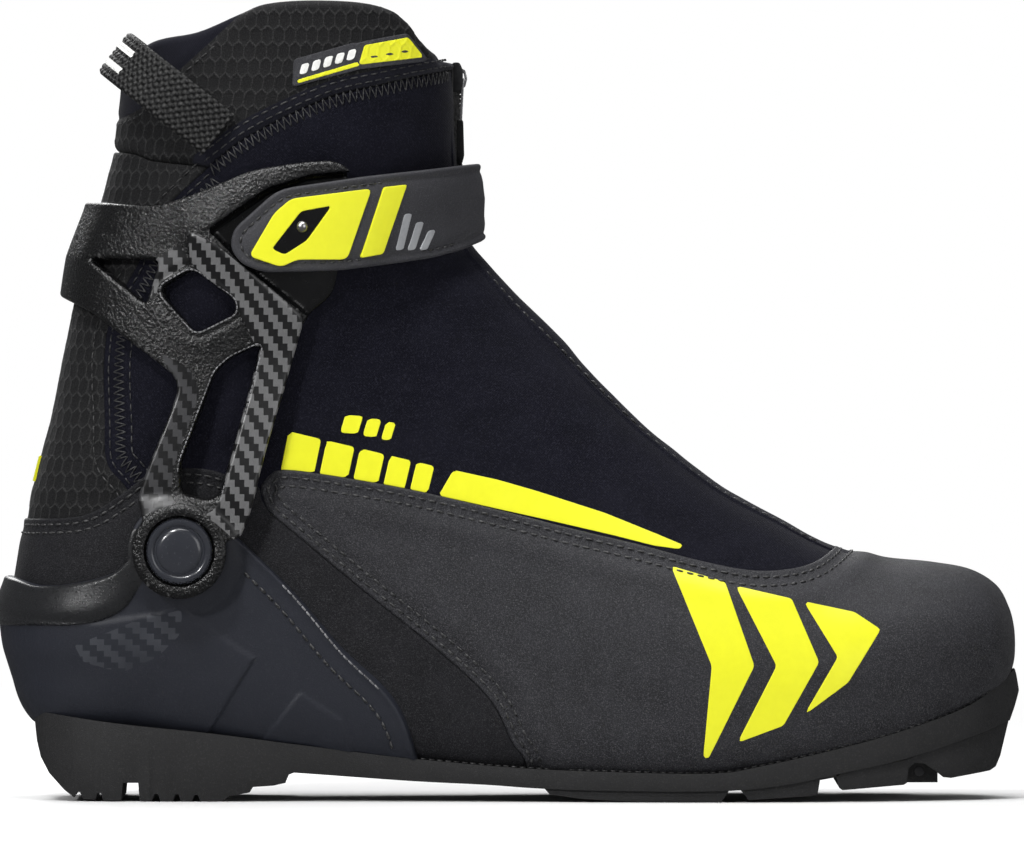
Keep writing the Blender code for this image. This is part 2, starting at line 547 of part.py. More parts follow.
def make_pivots():
    """A rivet post, thrust washer and cap on each side of the heel."""
    skin = half_width_at(*PIVOT)
    for side, name in ((-1, "lateral"), (1, "medial")):
        flange = across(side, skin + 0.6, EAR_FACE - 1.5 - GAP)
        post = rod(f"pivot_post_{name}", PIVOT, FLANGE_RADIUS, *flange, 24, "steel")
        reach = across(side, skin + 0.8, BOSS_FACES[1] - 1.7)
        shaft = rod(f"pivot_shaft_{side}", PIVOT, SHAFT_RADIUS, *reach, 16)
        boolean(post, shaft, operation="UNION")
        reach = across(side, EAR_FACE + GAP, BOSS_FACES[0] - GAP)
        washer = rod(f"pivot_washer_{name}", PIVOT, 10.0, *reach, 24, "board")
        boolean(washer, rod(f"washer_bore_{side}", PIVOT, SHAFT_RADIUS + GAP, *across(side, 20, 60), 16))
        cap_base = across(side, BOSS_FACES[1] - 1.4, BOSS_FACES[1] + 0.6)
        cap = rod(f"pivot_cap_{name}", PIVOT, CAP_RADIUS, *cap_base, 28, "cuff_plastic")
        round_edges(cap, 0.7, 1)


# --- the cuff ---------------------------------------------------------------------------------------------
def cuff_inside(points):
    """The cuff hugs the shaft above and stands off to clear the ears below."""
    high, low = 132.0, 92.0
    t = np.clip((high - points[..., 2]) / (high - low), 0, 1)
    return CUFF_CLEARANCE + (ARM_CLEARANCE - CUFF_CLEARANCE) * t * t * (3 - 2 * t)


def cuff_outside(points):
    return cuff_inside(points) + CUFF_THICKNESS


def make_cuff():
    rows, angles = np.linspace(14, 26, 17), np.linspace(52, 308, 21)
    cuff = shell("cuff_shell", rows, angles, (cuff_inside, cuff_outside), "cuff_plastic")
    boolean(cuff, prism("cuff_outline", CUFF_OUTLINE), operation="INTERSECT")
    for name, hole in (("arm_slot", ARM_SLOT), ("cuff_window", CUFF_WINDOW), ("rear_window", REAR_WINDOW)):
        boolean(cuff, prism(name, hole))
    for side in (-1, 1):
        boss = rod(f"boss_{side}", PIVOT, BOSS_RADIUS, *across(side, *BOSS_FACES), 28)
        boolean(cuff, boss, operation="UNION")
    for side in (-1, 1):
        reach = across(side, 20, BOSS_FACES[0])
        boolean(cuff, rod(f"washer_room_{side}", PIVOT, EAR_RADIUS + 1, *reach, 28))
        boolean(cuff, rod(f"boss_bore_{side}", PIVOT, SHAFT_RADIUS + GAP, *across(side, 20, 60), 16))
        reach = across(side, BOSS_FACES[1] - 1.7, 60)
        boolean(cuff, rod(f"cap_room_{side}", PIVOT, CAP_RADIUS + 0.4, *reach, 28))
    return [cuff]


# --- the strap --------------------------------------------------------------------------------------------
def strap_inside(points):
    """The strap lies over the cuff at the sides and closes in on the instep along its lower front edge."""
    low = np.clip((176 - points[..., 2]) / 14, 0, 1)
    forward = np.clip((points[..., 0] + 45) / 30, 0, 1)
    return STRAP_STANDOFF - 2.6 * low * forward


def strap_outside(points):
    return strap_inside(points) + STRAP_THICKNESS


def badge_inside(points):
    return strap_outside(points) + GAP


def badge_outside(points):
    return badge_inside(points) + BADGE_THICKNESS


def strap_piece(name, angles, layer, outline, look):
    piece = shell(name, np.linspace(13, 26, 14), angles, layer, look)
    return boolean(piece, prism(name + "_outline", outline), operation="INTERSECT")


def make_strap():
    """The strap in three lengths that fold at the two corners of the instep, and what is fixed to it."""
    gap_angle = 0.2
    side_angles = np.linspace(STRAP_FOLD + gap_angle, 130, 8)
    strap, badge = (strap_inside, strap_outside), (badge_inside, badge_outside)
    lateral = strap_piece("strap_end_lateral", side_angles, strap, STRAP_OUTLINE, "strap")
    front_angles = np.linspace(-STRAP_FOLD + gap_angle, STRAP_FOLD - gap_angle, 9)
    front = strap_piece("strap_front", front_angles, strap, STRAP_OUTLINE, "strap")
    tip = strap_piece("strap_tip", -side_angles[::-1], strap, STRAP_OUTLINE, "strap")
    rear = strap_piece("strap_badge_rear", side_angles, badge, BADGE_REAR, "yellow")
    boolean(rear, prism("badge_window", BADGE_WINDOW))
    bar = strap_piece("strap_badge_front", side_angles, badge, BADGE_FRONT, "yellow")
    patch_outline = [(-74, 176), (-74, 158.5), (-52.5, 158.5), (-50.5, 181), (-66, 178.5)]
    patch = strap_piece("strap_loop_patch", -side_angles[::-1], LOOP_PATCH, patch_outline, "velcro")

    skin = half_width_at(*STRAP_RIVET)
    boolean(lateral, rod("rivet_hole", STRAP_RIVET, 2.5, -60, -20, 16))
    outer = -skin - STRAP_STANDOFF - STRAP_THICKNESS
    rivet = rod("strap_rivet", STRAP_RIVET, 2.1, outer - 0.8, -skin - 4.8, 16, "steel")
    head = rod("rivet_head", STRAP_RIVET, 2.7, outer - 2.0, outer - 0.4, 16)
    boolean(rivet, head, operation="UNION")
    return [lateral, rear, bar, patch, rivet], [front], [tip]


# --- zip, pull loop and small trim ------------------------------------------------------------------------
def make_zip():
    """Slider and pull, hanging in front of the collar's closed zip."""
    slider = block("zip_slider", (-15.8, -4.0, 208.5), (-12.6, 4.0, 217), "steel")
    round_edges(slider, 0.8, 2)
    pull = block("zip_pull", (-14.9, -2.6, 189.5), (-13.4, 2.6, 208.1), "steel")
    boolean(pull, block("pull_window", (-20, -1.3, 202.5), (-5, 1.3, 206.6)))
    return [slider], [pull]


def make_pull_loop():
    """A webbing band from side to side round the back of the collar, in a plane that rises to the back."""
    back = np.array((-math.cos(LOOP_TILT), 0, math.sin(LOOP_TILT)))
    up = np.array((math.sin(LOOP_TILT), 0, math.cos(LOOP_TILT)))
    anchor = np.array((LOOP_ANCHOR[0], 0, LOOP_ANCHOR[1]))
    half = half_width_at(LOOP_ANCHOR[0] + 10, LOOP_ANCHOR[1]) + 1.5
    power = 3.4
    rings = []
    for angle in np.radians(np.linspace(-90, 90, 21)):
        c, s = math.cos(angle), math.sin(angle)
        radius = (abs(c) ** power + abs(s) ** power) ** (-1 / power)
        rings.append((LOOP_REACH * radius * c, half * radius * s))
    rings = [(-7.5, -half)] + rings + [(-7.5, half)]
    path = np.array(rings)
    tangent = np.gradient(path, axis=0)
    normal = np.stack([tangent[:, 1], -tangent[:, 0]], axis=1) / np.linalg.norm(tangent, axis=1)[:, None]
    points = []
    for (along, side), (n_along, n_side) in zip(path, normal):
        for out, rise in ((-1, -1), (1, -1), (1, 1), (-1, 1)):
            offset = LOOP_THICKNESS / 2 * out
            place = anchor + back * (along + n_along * offset) + up * (LOOP_WIDTH / 2 * rise)
            points.append(place + np.array((0, side + n_side * offset, 0)))
    faces = [(0, 3, 2, 1), tuple(len(points) - 4 + k for k in range(4))]
    for i in range(len(path) - 1):
        for k in range(4):
            a, b = 4 * i + k, 4 * i + (k + 1) % 4
            faces.append((a, b, b + 4, a + 4))
    return [mesh_object("pull_loop", points, faces, "webbing")]


def make_trim():
    label = shell("collar_label", np.linspace(20, 27, 8), np.arange(30, 106, 15), PATCH, "yellow")
    label_outline = [(-64, 208.6), (-30.5, 215.6), (-27, 223.6), (-60.5, 219)]
    boolean(label, prism("collar_label_outline", label_outline), operation="INTERSECT")
    marker = shell("heel_marker", np.linspace(19.6, 20.8, 4), np.linspace(171, 189, 5), PATCH, "yellow")
    outline = [(-160, 94), (-120, 94), (-120, 102), (-160, 102)]
    boolean(marker, prism("heel_marker_outline", outline), operation="INTERSECT")


# --- assembly ---------------------------------------------------------------------------------------------
def fold_axis(side):
    """Lowest and highest point of the line that a strap end folds about, just outside the strap."""
    grid = last_points(np.linspace(13, 26, 261), side * STRAP_FOLD, STRAP_STANDOFF + STRAP_THICKNESS + GAP)
    low, high = np.interp((163.0, 188.0), grid[:, 2], np.arange(len(grid)))
    return grid[int(round(low))], grid[int(round(high))]


def mount_on(name, position, pieces, parent=None):
    """An empty on a joint's axis that carries the pieces which turn or slide there."""
    empty = bpy.data.objects.new(name, None)
    empty.matrix_world = Matrix.Translation([c * MM for c in position])
    bpy.context.scene.collection.objects.link(empty)
    for child in pieces:
        child.parent = empty
        child.matrix_parent_inverse = empty.matrix_world.inverted()
    if parent:
        empty.parent = parent
        empty.matrix_parent_inverse = Matrix.Translation([-c for c in parent.matrix_world.translation])
    return empty


def main():
    for old in list(bpy.data.objects):
        bpy.data.objects.remove(old, do_unlink=True)
    make_sole()
    make_upper()
    make_reinforcements()
    make_lining()
    make_heel_shell()
    make_pivots()
    make_trim()
    on_cuff, on_front, on_tip = make_strap()
    slider, pull = make_zip()
    cuff_axis = mount_on("cuff_axis", (PIVOT[0], 0, PIVOT[1]), make_cuff() + on_cuff)
    front_axis = mount_on("strap_front_axis", fold_axis(1)[0], on_front, cuff_axis)
    mount_on("strap_tip_axis", fold_axis(-1)[0], on_tip, front_axis)
    slider_axis = mount_on("zip_slider_axis", (-14.2, 0, 213), slider, cuff_axis)
    mount_on("zip_pull_axis", (-14.2, 0, 207.4), pull, slider_axis)
    mount_on("pull_loop_axis", (LOOP_ANCHOR[0], 0, LOOP_ANCHOR[1]), make_pull_loop(), cuff_axis)


main()
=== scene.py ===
"""Looks of a cross-country skating boot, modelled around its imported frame.

Lengths in the modelling functions are millimetres; they become metres when a mesh is made. +X is the toe,
-Y the lateral side, +Z up. Every layer of the upper is the last (the foot's shape) grown by some distance.
"""

import math

import bmesh
import bpy
import numpy as np
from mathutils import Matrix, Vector


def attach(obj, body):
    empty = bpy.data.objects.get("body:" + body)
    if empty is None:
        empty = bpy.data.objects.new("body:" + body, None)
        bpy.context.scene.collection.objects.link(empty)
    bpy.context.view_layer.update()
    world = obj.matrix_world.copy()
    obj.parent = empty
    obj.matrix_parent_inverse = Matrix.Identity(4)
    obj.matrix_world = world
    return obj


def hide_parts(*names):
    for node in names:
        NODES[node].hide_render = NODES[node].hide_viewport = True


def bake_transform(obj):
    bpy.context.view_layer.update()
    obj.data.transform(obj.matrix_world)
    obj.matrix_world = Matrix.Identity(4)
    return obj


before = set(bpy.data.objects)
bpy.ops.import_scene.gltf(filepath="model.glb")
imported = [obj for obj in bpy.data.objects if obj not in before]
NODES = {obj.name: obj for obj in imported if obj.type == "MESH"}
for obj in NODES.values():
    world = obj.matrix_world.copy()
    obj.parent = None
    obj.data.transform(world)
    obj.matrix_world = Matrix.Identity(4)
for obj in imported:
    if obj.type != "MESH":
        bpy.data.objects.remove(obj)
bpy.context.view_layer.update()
MM = 0.001

# --- driving dimensions, the same as the frame's ----------------------------------------------------------
PIVOT = (-97.4, 73.6)
EAR_RADIUS, EAR_FACE = 15.0, 40.2
BOSS_RADIUS, BOSS_INSIDE, BOSS_OUTSIDE = 13.6, 41.4, 47.4
CUFF_THICKNESS, CUFF_CLEARANCE, ARM_CLEARANCE = 3.2, 1.2, 5.6
STRAP_STANDOFF, STRAP_THICKNESS = 5.5, 2.0
LOOP_ANCHOR, LOOP_TILT, LOOP_REACH = (-86.9, 196.4), math.radians(38.0), 38.0
LOOP_WIDTH, LOOP_THICKNESS = 15.0, 1.6

STATIONS = np.array(
    [
        (147.9, 45.0, 147.9, 45.0, 0.0),
        (147.3, 39.5, 147.5, 50.5, 8.0),
        (144.5, 32.5, 146.0, 56.0, 17.0),
        (139.0, 28.0, 142.5, 62.0, 25.5),
        (130.0, 23.5, 135.0, 66.5, 33.0),
        (118.0, 18.7, 124.0, 68.6, 39.5),
        (103.0, 14.2, 109.0, 70.2, 44.5),
        (86.0, 10.4, 93.0, 74.5, 47.3),
        (68.0, 7.2, 77.0, 83.0, 48.0),
        (48.0, 5.4, 60.0, 92.5, 47.0),
        (26.0, 5.6, 44.0, 105.0, 44.0),
        (2.0, 7.0, 29.0, 119.5, 40.5),
        (-24.0, 9.2, 15.0, 134.0, 38.0),
        (-52.0, 12.3, 3.0, 146.0, 36.8),
        (-82.0, 16.0, -6.6, 156.5, 36.2),
        (-112.0, 19.6, -12.3, 163.5, 36.0),
        (-134.0, 24.0, -14.6, 170.0, 36.0),
        (-144.0, 37.0, -15.7, 176.0, 36.0),
        (-147.4, 54.0, -16.4, 182.0, 36.2),
        (-145.5, 72.0, -16.8, 188.0, 36.8),
        (-141.5, 92.0, -17.0, 194.0, 37.4),
        (-136.2, 112.0, -17.0, 201.0, 38.0),
        (-131.8, 134.0, -17.0, 209.0, 38.4),
        (-127.0, 156.0, -17.0, 217.0, 38.8),
        (-120.8, 178.0, -17.2, 225.0, 39.0),
        (-115.6, 200.0, -17.4, 233.0, 39.2),
        (-114.0, 222.0, -17.5, 241.0, 39.4),
        (-113.5, 240.0, -17.5, 248.0, 39.5),
    ]
)
LAST_ROW = len(STATIONS) - 1
ROWS = np.arange(LAST_ROW + 1)
WIDEST = np.interp(
    ROWS, (0, 2, 5, 8, 13, 15, 17, 19, 21), (0.5, 0.45, 0.36, 0.33, 0.3, 0.33, 0.42, 0.48, 0.5)
)
SQUARE_LOW = np.interp(ROWS, (0, 2, 5, 12, 14, 16, 18, 27), (2.2, 3.0, 5.5, 6.0, 5.0, 3.2, 2.4, 2.3))
SQUARE_HIGH = np.interp(ROWS, (0, 5, 9, 11, 13, 16, 20), (2.2, 2.3, 2.0, 1.9, 1.95, 2.2, 2.4))
TOE_TURN, TOE_TURN_FROM, TOE_TURN_TO = 6.0, 20.0, 140.0

# --- side-view lines, (x, z) ------------------------------------------------------------------------------
VAMP_TOP = [
    (-74, 92), (-70.5, 96.4), (-64.6, 97.2), (-45, 94.3), (-26, 90.7), (0, 84.5), (16, 80.4),
    (36, 75.6)
]
VAMP_TOP += [(55, 70.6), (70, 67.7), (82, 68), (90, 70.3), (98, 76)]
VAMP_BACK = [
    (-74, 92), (-71.4, 85.4), (-62.8, 78), (-45, 63.2), (-21, 44), (-6.6, 30.4), (0, 18),
    (4.3, 10.6), (6, -10)
]
FOXING_TOP = [
    (-160, 82), (-142, 82.6), (-129, 83.3), (-122, 85.4), (-113, 91.3), (-105, 96.6), (-90, 97.5),
    (-74, 92)
]
SHAFT_SEAM = [(-108, 78), (-113, 91.3), (-119, 99), (-119.8, 110), (-119.5, 137), (-110, 158), (-103.3, 172)]
SHAFT_SEAM += [(-89.2, 186.2)]
COLLAR_SEAM = [(-89.2, 186.2), (-75.5, 196), (-55, 205.7), (-40.6, 209.5), (-17, 214.2), (8, 215)]
COLLAR_BACK = [(-89.2, 186.2), (-105.9, 188), (-115.8, 190.6), (-150, 191)]
HEEL_TAB_EDGE = [(-150, 199), (-114.5, 200.6), (-95.3, 216.3), (-79, 231.5)]
RIM = [(8, 217.5), (-17, 217), (-22, 219.5), (-27, 224), (-31, 229), (-36, 232.5), (-45, 234.5), (-60, 235)]
RIM += [(-72, 234), (-79, 231.5), (-92, 226), (-103, 224), (-108, 222), (-114.5, 217.5), (-150, 216)]
FEATHER = [
    (-141, 26.4), (-116.4, 22.8), (-89.4, 20), (-62.8, 16.6), (-31, 12.7), (0, 10), (25.6, 8.9),
    (58.4, 8.4)
]
FEATHER += [(72.5, 10.4), (93.8, 15.1), (113.7, 20.4), (134.9, 28.1), (148.6, 38)]
SHELL_FRONT = [(-83, 80), (-64.6, 62.3), (-50.1, 45.8), (-37.7, 34.3), (-31.8, 25.7), (-27.3, 12.4)]
SHELL_TOP = [(-160, 65.3), (-147, 65.3), (-137.3, 63.2), (-126, 64.4), (-116.3, 67.4), (-111, 72)]

CUFF_OUTLINE = [(-119.5, 175), (-103, 173.7), (-92.7, 177.2), (-76.3, 184.6), (-62.7, 187.1), (-53.4, 187.8)]
CUFF_OUTLINE += [(-48.7, 184.1), (-52, 154.8), (-53.4, 148.5), (-62.2, 141), (-64.4, 132.7), (-67.2, 122.9)]
CUFF_OUTLINE += [
    (-71.3, 110.3), (-75.5, 97.8), (-79, 87.3), (-84, 76), (-97.4, 66), (-109, 78), (-105.5, 93.6)
]
CUFF_OUTLINE += [(-99.2, 111.8), (-96.8, 120.1), (-97.8, 124.3), (-109, 133.4), (-120.1, 142.6), (-133, 149)]
CUFF_OUTLINE += [(-138, 160), (-130, 175)]
ARM_SLOT = [
    (-95.4, 91.5), (-88.1, 90.1), (-85.3, 92.2), (-76.9, 122.2), (-73.9, 134), (-82.5, 129.9),
    (-86.7, 125.7)
]
ARM_SLOT += [(-89.1, 118.7), (-95.7, 99.2)]
CUFF_WINDOW = [
    (-101, 150.8), (-93.7, 155.3), (-91.5, 155), (-81.1, 146.6), (-80.8, 142.8), (-91.9, 136.8),
    (-101, 148)
]
REAR_WINDOW = [(-121, 158.5), (-101.5, 158.5), (-105.5, 145)]
STRAP_OUTLINE = [
    (4, 189.5), (-9.6, 187.8), (-47.1, 183), (-69.2, 179), (-81, 167), (-81.9, 161.8),
    (-79.3, 157.3)
]
STRAP_OUTLINE += [(-73.7, 154.5), (-52.8, 155.3), (-24.5, 159.5), (-7.5, 163.5), (4, 165)]
BADGE_REAR = [
    (-69.7, 172.5), (-64.7, 176.8), (-41.2, 179.8), (-48.4, 159), (-62.9, 159), (-67.5, 156.8),
    (-77, 160)
]
BADGE_FRONT = [(-37.7, 180.2), (-30.9, 181), (-37.9, 160.6), (-44.6, 159.4)]
BADGE_WINDOW = [(-70.3, 162.1), (-61.8, 173.1), (-52.8, 174.8), (-60.1, 164.6), (-66.6, 160.4)]


# --- the last as a surface --------------------------------------------------------------------------------
def at_station(column, u):
    """A station column read at any station number, on a smooth curve through its rows."""
    ends = (2 * column[0] - column[1], 2 * column[-1] - column[-2])
    padded = np.concatenate([ends[:1], column, ends[1:]])
    row = np.clip(np.floor(u).astype(int), 0, LAST_ROW - 1)
    t = u - row
    a, b, c, d = (padded[row + shift] for shift in range(4))
    return 0.5 * (2 * b + (c - a) * t + (2 * a - 5 * b + 4 * c - d) * t**2 + (3 * b - a - 3 * c + d) * t**3)


def side_curve(first_column, side, u):
    """Points of the bottom/back or top/front line at stations u, and their outward directions."""
    step = 0.02
    x, z = at_station(STATIONS[:, first_column], u), at_station(STATIONS[:, first_column + 1], u)
    ahead, behind = np.minimum(u + step, LAST_ROW), np.maximum(u - step, 0)
    dx = at_station(STATIONS[:, first_column], ahead) - at_station(STATIONS[:, first_column], behind)
    dz = at_station(STATIONS[:, first_column + 1], ahead) - at_station(STATIONS[:, first_column + 1], behind)
    length = np.hypot(dx, dz)
    return x, z, side * dz / length, -side * dx / length


def ramp(value, low, high):
    """0 below low, 1 above high, smooth between."""
    t = np.clip((value - low) / (high - low), 0, 1)
    return t * t * (3 - 2 * t)


def centreline(x):
    """How far the foot's middle line turns to the medial side towards the toe."""
    return TOE_TURN * ramp(x, TOE_TURN_FROM, TOE_TURN_TO)


def last_points(u, phi, grow):
    """Points of the last grown by grow; phi in degrees runs from the top line over the lateral side."""
    u, phi = np.broadcast_arrays(np.asarray(u, float), np.radians(np.asarray(phi, float)))
    x0, z0, nx0, nz0 = side_curve(0, -1, u)
    x1, z1, nx1, nz1 = side_curve(2, 1, u)
    x0, z0, x1, z1 = x0 + grow * nx0, z0 + grow * nz0, x1 + grow * nx1, z1 + grow * nz1
    half = np.maximum(at_station(STATIONS[:, 4], u), 0)
    width = np.where(u > 0, np.maximum(half + grow, 0.35 * half), 0)
    widest = at_station(WIDEST, u)
    upper = np.cos(phi) >= 0
    power = np.where(upper, at_station(SQUARE_HIGH, u), at_station(SQUARE_LOW, u))
    radius = (np.abs(np.cos(phi)) ** power + np.abs(np.sin(phi)) ** power) ** (-1 / power)
    t = widest + radius * np.cos(phi) * np.where(upper, 1 - widest, widest)
    x, z = x0 + (x1 - x0) * t, z0 + (z1 - z0) * t
    y = centreline(x) - width * radius * np.sin(phi)
    return np.stack([x, y, z], axis=-1)


# --- lines and outlines in the side view ------------------------------------------------------------------
def smooth(points, closed=False, step=1.5):
    """A curve through points, as a line with a point about every step."""
    p = np.array(points, float)
    p = np.concatenate([p[-1:], p, p[:2]]) if closed else np.concatenate(
        [2 * p[:1] - p[1:2], p, 2 * p[-1:] - p[-2:-1]]
    )
    line = []
    for a, b, c, d in zip(p[:-3], p[1:-2], p[2:-1], p[3:]):
        t = np.arange(0, 1, min(1, step / max(np.linalg.norm(c - b), step)))[:, None]
        line.append(
            0.5 * (2 * b + (c - a) * t + (2 * a - 5 * b + 4 * c - d) * t**2 + (3 * b - a - 3 * c + d) * t**3)
        )
    if not closed:
        line.append(p[-2:-1])
    return np.concatenate(line)


def rounded(points, radius=1.5, steps=4):
    """A closed outline with its corners turned into short curves."""
    p = np.array(points, float)
    ring = []
    for a, b, c in zip(np.roll(p, 1, axis=0), p, np.roll(p, -1, axis=0)):
        before, after = a - b, c - b
        cut = min(radius, 0.45 * np.linalg.norm(before), 0.45 * np.linalg.norm(after))
        start = b + before / np.linalg.norm(before) * cut
        end = b + after / np.linalg.norm(after) * cut
        for t in np.linspace(0, 1, steps):
            ring.append((1 - t) ** 2 * start + 2 * t * (1 - t) * b + t * t * end)
    return np.array(ring)


def line_gap(xz, line, closed=False):
    """For side-view points: the distance to a line and which side of it they lie on (+1 left)."""
    line = np.asarray(line, float)
    a, b = (line, np.roll(line, -1, axis=0)) if closed else (line[:-1], line[1:])
    edge = b - a
    square = np.maximum((edge**2).sum(1), 1e-12)
    distance, side = np.empty(len(xz)), np.empty(len(xz))
    chunk = max(1, 2_000_000 // len(a))
    for first in range(0, len(xz), chunk):
        px, pz = xz[first : first + chunk, 0, None], xz[first : first + chunk, 1, None]
        t = np.clip(((px - a[:, 0]) * edge[:, 0] + (pz - a[:, 1]) * edge[:, 1]) / square, 0, 1)
        gx, gz = px - (a[:, 0] + t * edge[:, 0]), pz - (a[:, 1] + t * edge[:, 1])
        d2 = gx * gx + gz * gz
        k = d2.argmin(1)
        i = np.arange(len(k))
        distance[first : first + chunk] = np.sqrt(d2[i, k])
        side[first : first + chunk] = np.where(edge[k, 0] * gz[i, k] >= edge[k, 1] * gx[i, k], 1, -1)
    return distance, side


def on_grid(grid, first, step, x, z):
    """A grid of values read between its points."""
    i = np.clip((x - first[0]) / step, 0, grid.shape[0] - 1.001)
    j = np.clip((z - first[1]) / step, 0, grid.shape[1] - 1.001)
    a, b = i.astype(int), j.astype(int)
    s, t = i - a, j - b
    low = grid[a, b] * (1 - s) + grid[a + 1, b] * s
    high = grid[a, b + 1] * (1 - s) + grid[a + 1, b + 1] * s
    return low * (1 - t) + high * t


FIELD_FIRST, FIELD_STEP, FIELD_SHAPE, COARSE = (-176.0, -24.0), 0.8, (441, 361), 5


def charted(exact):
    """A field of the side view worked out once on a grid, finely only near its zero line."""
    x = FIELD_FIRST[0] + FIELD_STEP * np.arange(FIELD_SHAPE[0])
    z = FIELD_FIRST[1] + FIELD_STEP * np.arange(FIELD_SHAPE[1])
    coarse_x, coarse_z = np.meshgrid(x[::COARSE], z[::COARSE], indexing="ij")
    rough = exact(np.stack([coarse_x.ravel(), coarse_z.ravel()], 1)).reshape(coarse_x.shape)
    fine_x, fine_z = np.meshgrid(x, z, indexing="ij")
    chart = on_grid(rough, FIELD_FIRST, FIELD_STEP * COARSE, fine_x.ravel(), fine_z.ravel())
    near = np.abs(chart) < 8
    chart[near] = exact(np.stack([fine_x.ravel()[near], fine_z.ravel()[near]], 1))
    chart = chart.reshape(FIELD_SHAPE)
    return lambda points: on_grid(chart, FIELD_FIRST, FIELD_STEP, points[:, 0], points[:, 2])


def beside(line):
    """A field that is the signed distance from a line, positive on its left."""

    def exact(xz):
        distance, side = line_gap(xz, line)
        return distance * side

    return charted(exact)


def within(outline):
    """A field that is the distance to a closed outline, negative inside."""
    ring = np.asarray(outline, float)

    def exact(xz):
        distance, _ = line_gap(xz, ring, closed=True)
        x, z = xz.T
        inside = np.zeros(len(xz), bool)
        for (x0, z0), (x1, z1) in zip(ring, np.roll(ring, -1, axis=0)):
            at = x0 + (z - z0) * (x1 - x0) / (z1 - z0 if z1 != z0 else 1)
            inside ^= ((z0 > z) != (z1 > z)) & (x < at)
        return np.where(inside, -distance, distance)

    return charted(exact)


def circle(centre, radius):
    """A round field; its value is the distance outside the circle."""
    return lambda points: np.hypot(points[:, 0] - centre[0], points[:, 2] - centre[1]) - radius


def both(*fields):
    """The part inside every field."""
    return lambda points: np.max([field(points) for field in fields], axis=0)


def outside(field):
    return lambda points: -field(points)


def offset(line, distance):
    """A line moved to its left by distance."""
    line = np.asarray(line, float)
    tangent = np.gradient(line, axis=0)
    tangent /= np.linalg.norm(tangent, axis=1)[:, None]
    return line + distance * np.stack([-tangent[:, 1], tangent[:, 0]], axis=1)


# --- sheets of the last, and the pieces made from them ----------------------------------------------------
def stations(first, last, step):
    """Station numbers that lie about step apart on the last."""
    u = np.linspace(first, last, 1500)
    spacing = 0
    for phi in (0, 90, 180):
        spacing = np.maximum(spacing, np.linalg.norm(np.diff(last_points(u, phi, 0.0), axis=0), axis=1))
    run = np.concatenate([[0], np.cumsum(spacing)])
    return np.interp(np.linspace(0, run[-1], max(2, round(run[-1] / step) + 1)), run, u)


def turns(first, last, step, row):
    """Angles that lie about step apart on the last's section at row."""
    phi = np.linspace(first, last, 1500)
    spacing = np.linalg.norm(np.diff(last_points(row, phi, 0.0), axis=0), axis=1)
    run = np.concatenate([[0], np.cumsum(spacing)])
    return np.interp(np.linspace(0, run[-1], max(2, round(run[-1] / step) + 1)), run, phi)


class Sheet:
    """A triangulated stretch of the last: each point has a station number u and an angle phi."""

    def __init__(self, rows, angles):
        u, phi = np.meshgrid(rows, angles, indexing="ij")
        self.u, self.phi = u.ravel(), phi.ravel()
        across = len(angles)
        i, j = np.meshgrid(np.arange(len(rows) - 1), np.arange(across - 1), indexing="ij")
        a = (i * across + j).ravel()
        b, c, d = a + across, a + across + 1, a + 1
        self.triangles = np.concatenate([np.stack([a, b, c], 1), np.stack([a, c, d], 1)])

    def base(self):
        """Points of the last, with their station number and angle as fourth and fifth column."""
        return np.column_stack([last_points(self.u, self.phi, 0.0), self.u, self.phi])

    def tidy(self):
        """Forget the points that no triangle uses."""
        used, triangles = np.unique(self.triangles, return_inverse=True)
        self.u, self.phi, self.triangles = self.u[used], self.phi[used], triangles.reshape(-1, 3)
        return self

    def cut(self, field, *levels, trim=False):
        """Split the triangles along level lines of field; trim drops what lies above the last level."""
        for level in levels:
            value = field(self.base()) - level
            value[np.abs(value) < 1e-4] = 1e-4
            above = value > 0
            count = above[self.triangles].sum(1)
            mixed = (count == 1) | (count == 2)
            work = self.triangles[mixed]
            whole = self.triangles[~mixed]
            if trim:
                whole = self.triangles[count == 0]
            if not len(work):
                self.triangles = whole
                continue
            flags = above[work]
            one_above = flags.sum(1) == 1
            lone = np.where(one_above[:, None], flags, ~flags).argmax(1)
            order = (lone[:, None] + np.arange(3)) % 3
            a, b, c = np.take_along_axis(work, order, 1).T
            pairs = np.sort(np.stack([np.concatenate([a, a]), np.concatenate([b, c])], 1), axis=1)
            edges, index = np.unique(pairs, axis=0, return_inverse=True)
            start, end = edges.T
            t = value[start] / (value[start] - value[end])
            number = len(self.u) + index.ravel()
            ab, ac = number[: len(a)], number[len(a) :]
            self.u = np.concatenate([self.u, self.u[start] + t * (self.u[end] - self.u[start])])
            self.phi = np.concatenate([self.phi, self.phi[start] + t * (self.phi[end] - self.phi[start])])
            tips, near, far = np.stack([a, ab, ac], 1), np.stack([ab, b, c], 1), np.stack([ab, c, ac], 1)
            if trim:
                tips, near, far = tips[~one_above], near[one_above], far[one_above]
            self.triangles = np.concatenate([whole, tips, near, far])
        return self.tidy() if trim else self

    def trim(self, field, edge=0.8):
        """Keep what lies inside field, with rows of points for an edge rounded over that width."""
        self.cut(field, 0.0, trim=True)
        if edge:
            self.cut(field, -edge, -0.55 * edge, -0.25 * edge, -0.08 * edge)
        return self


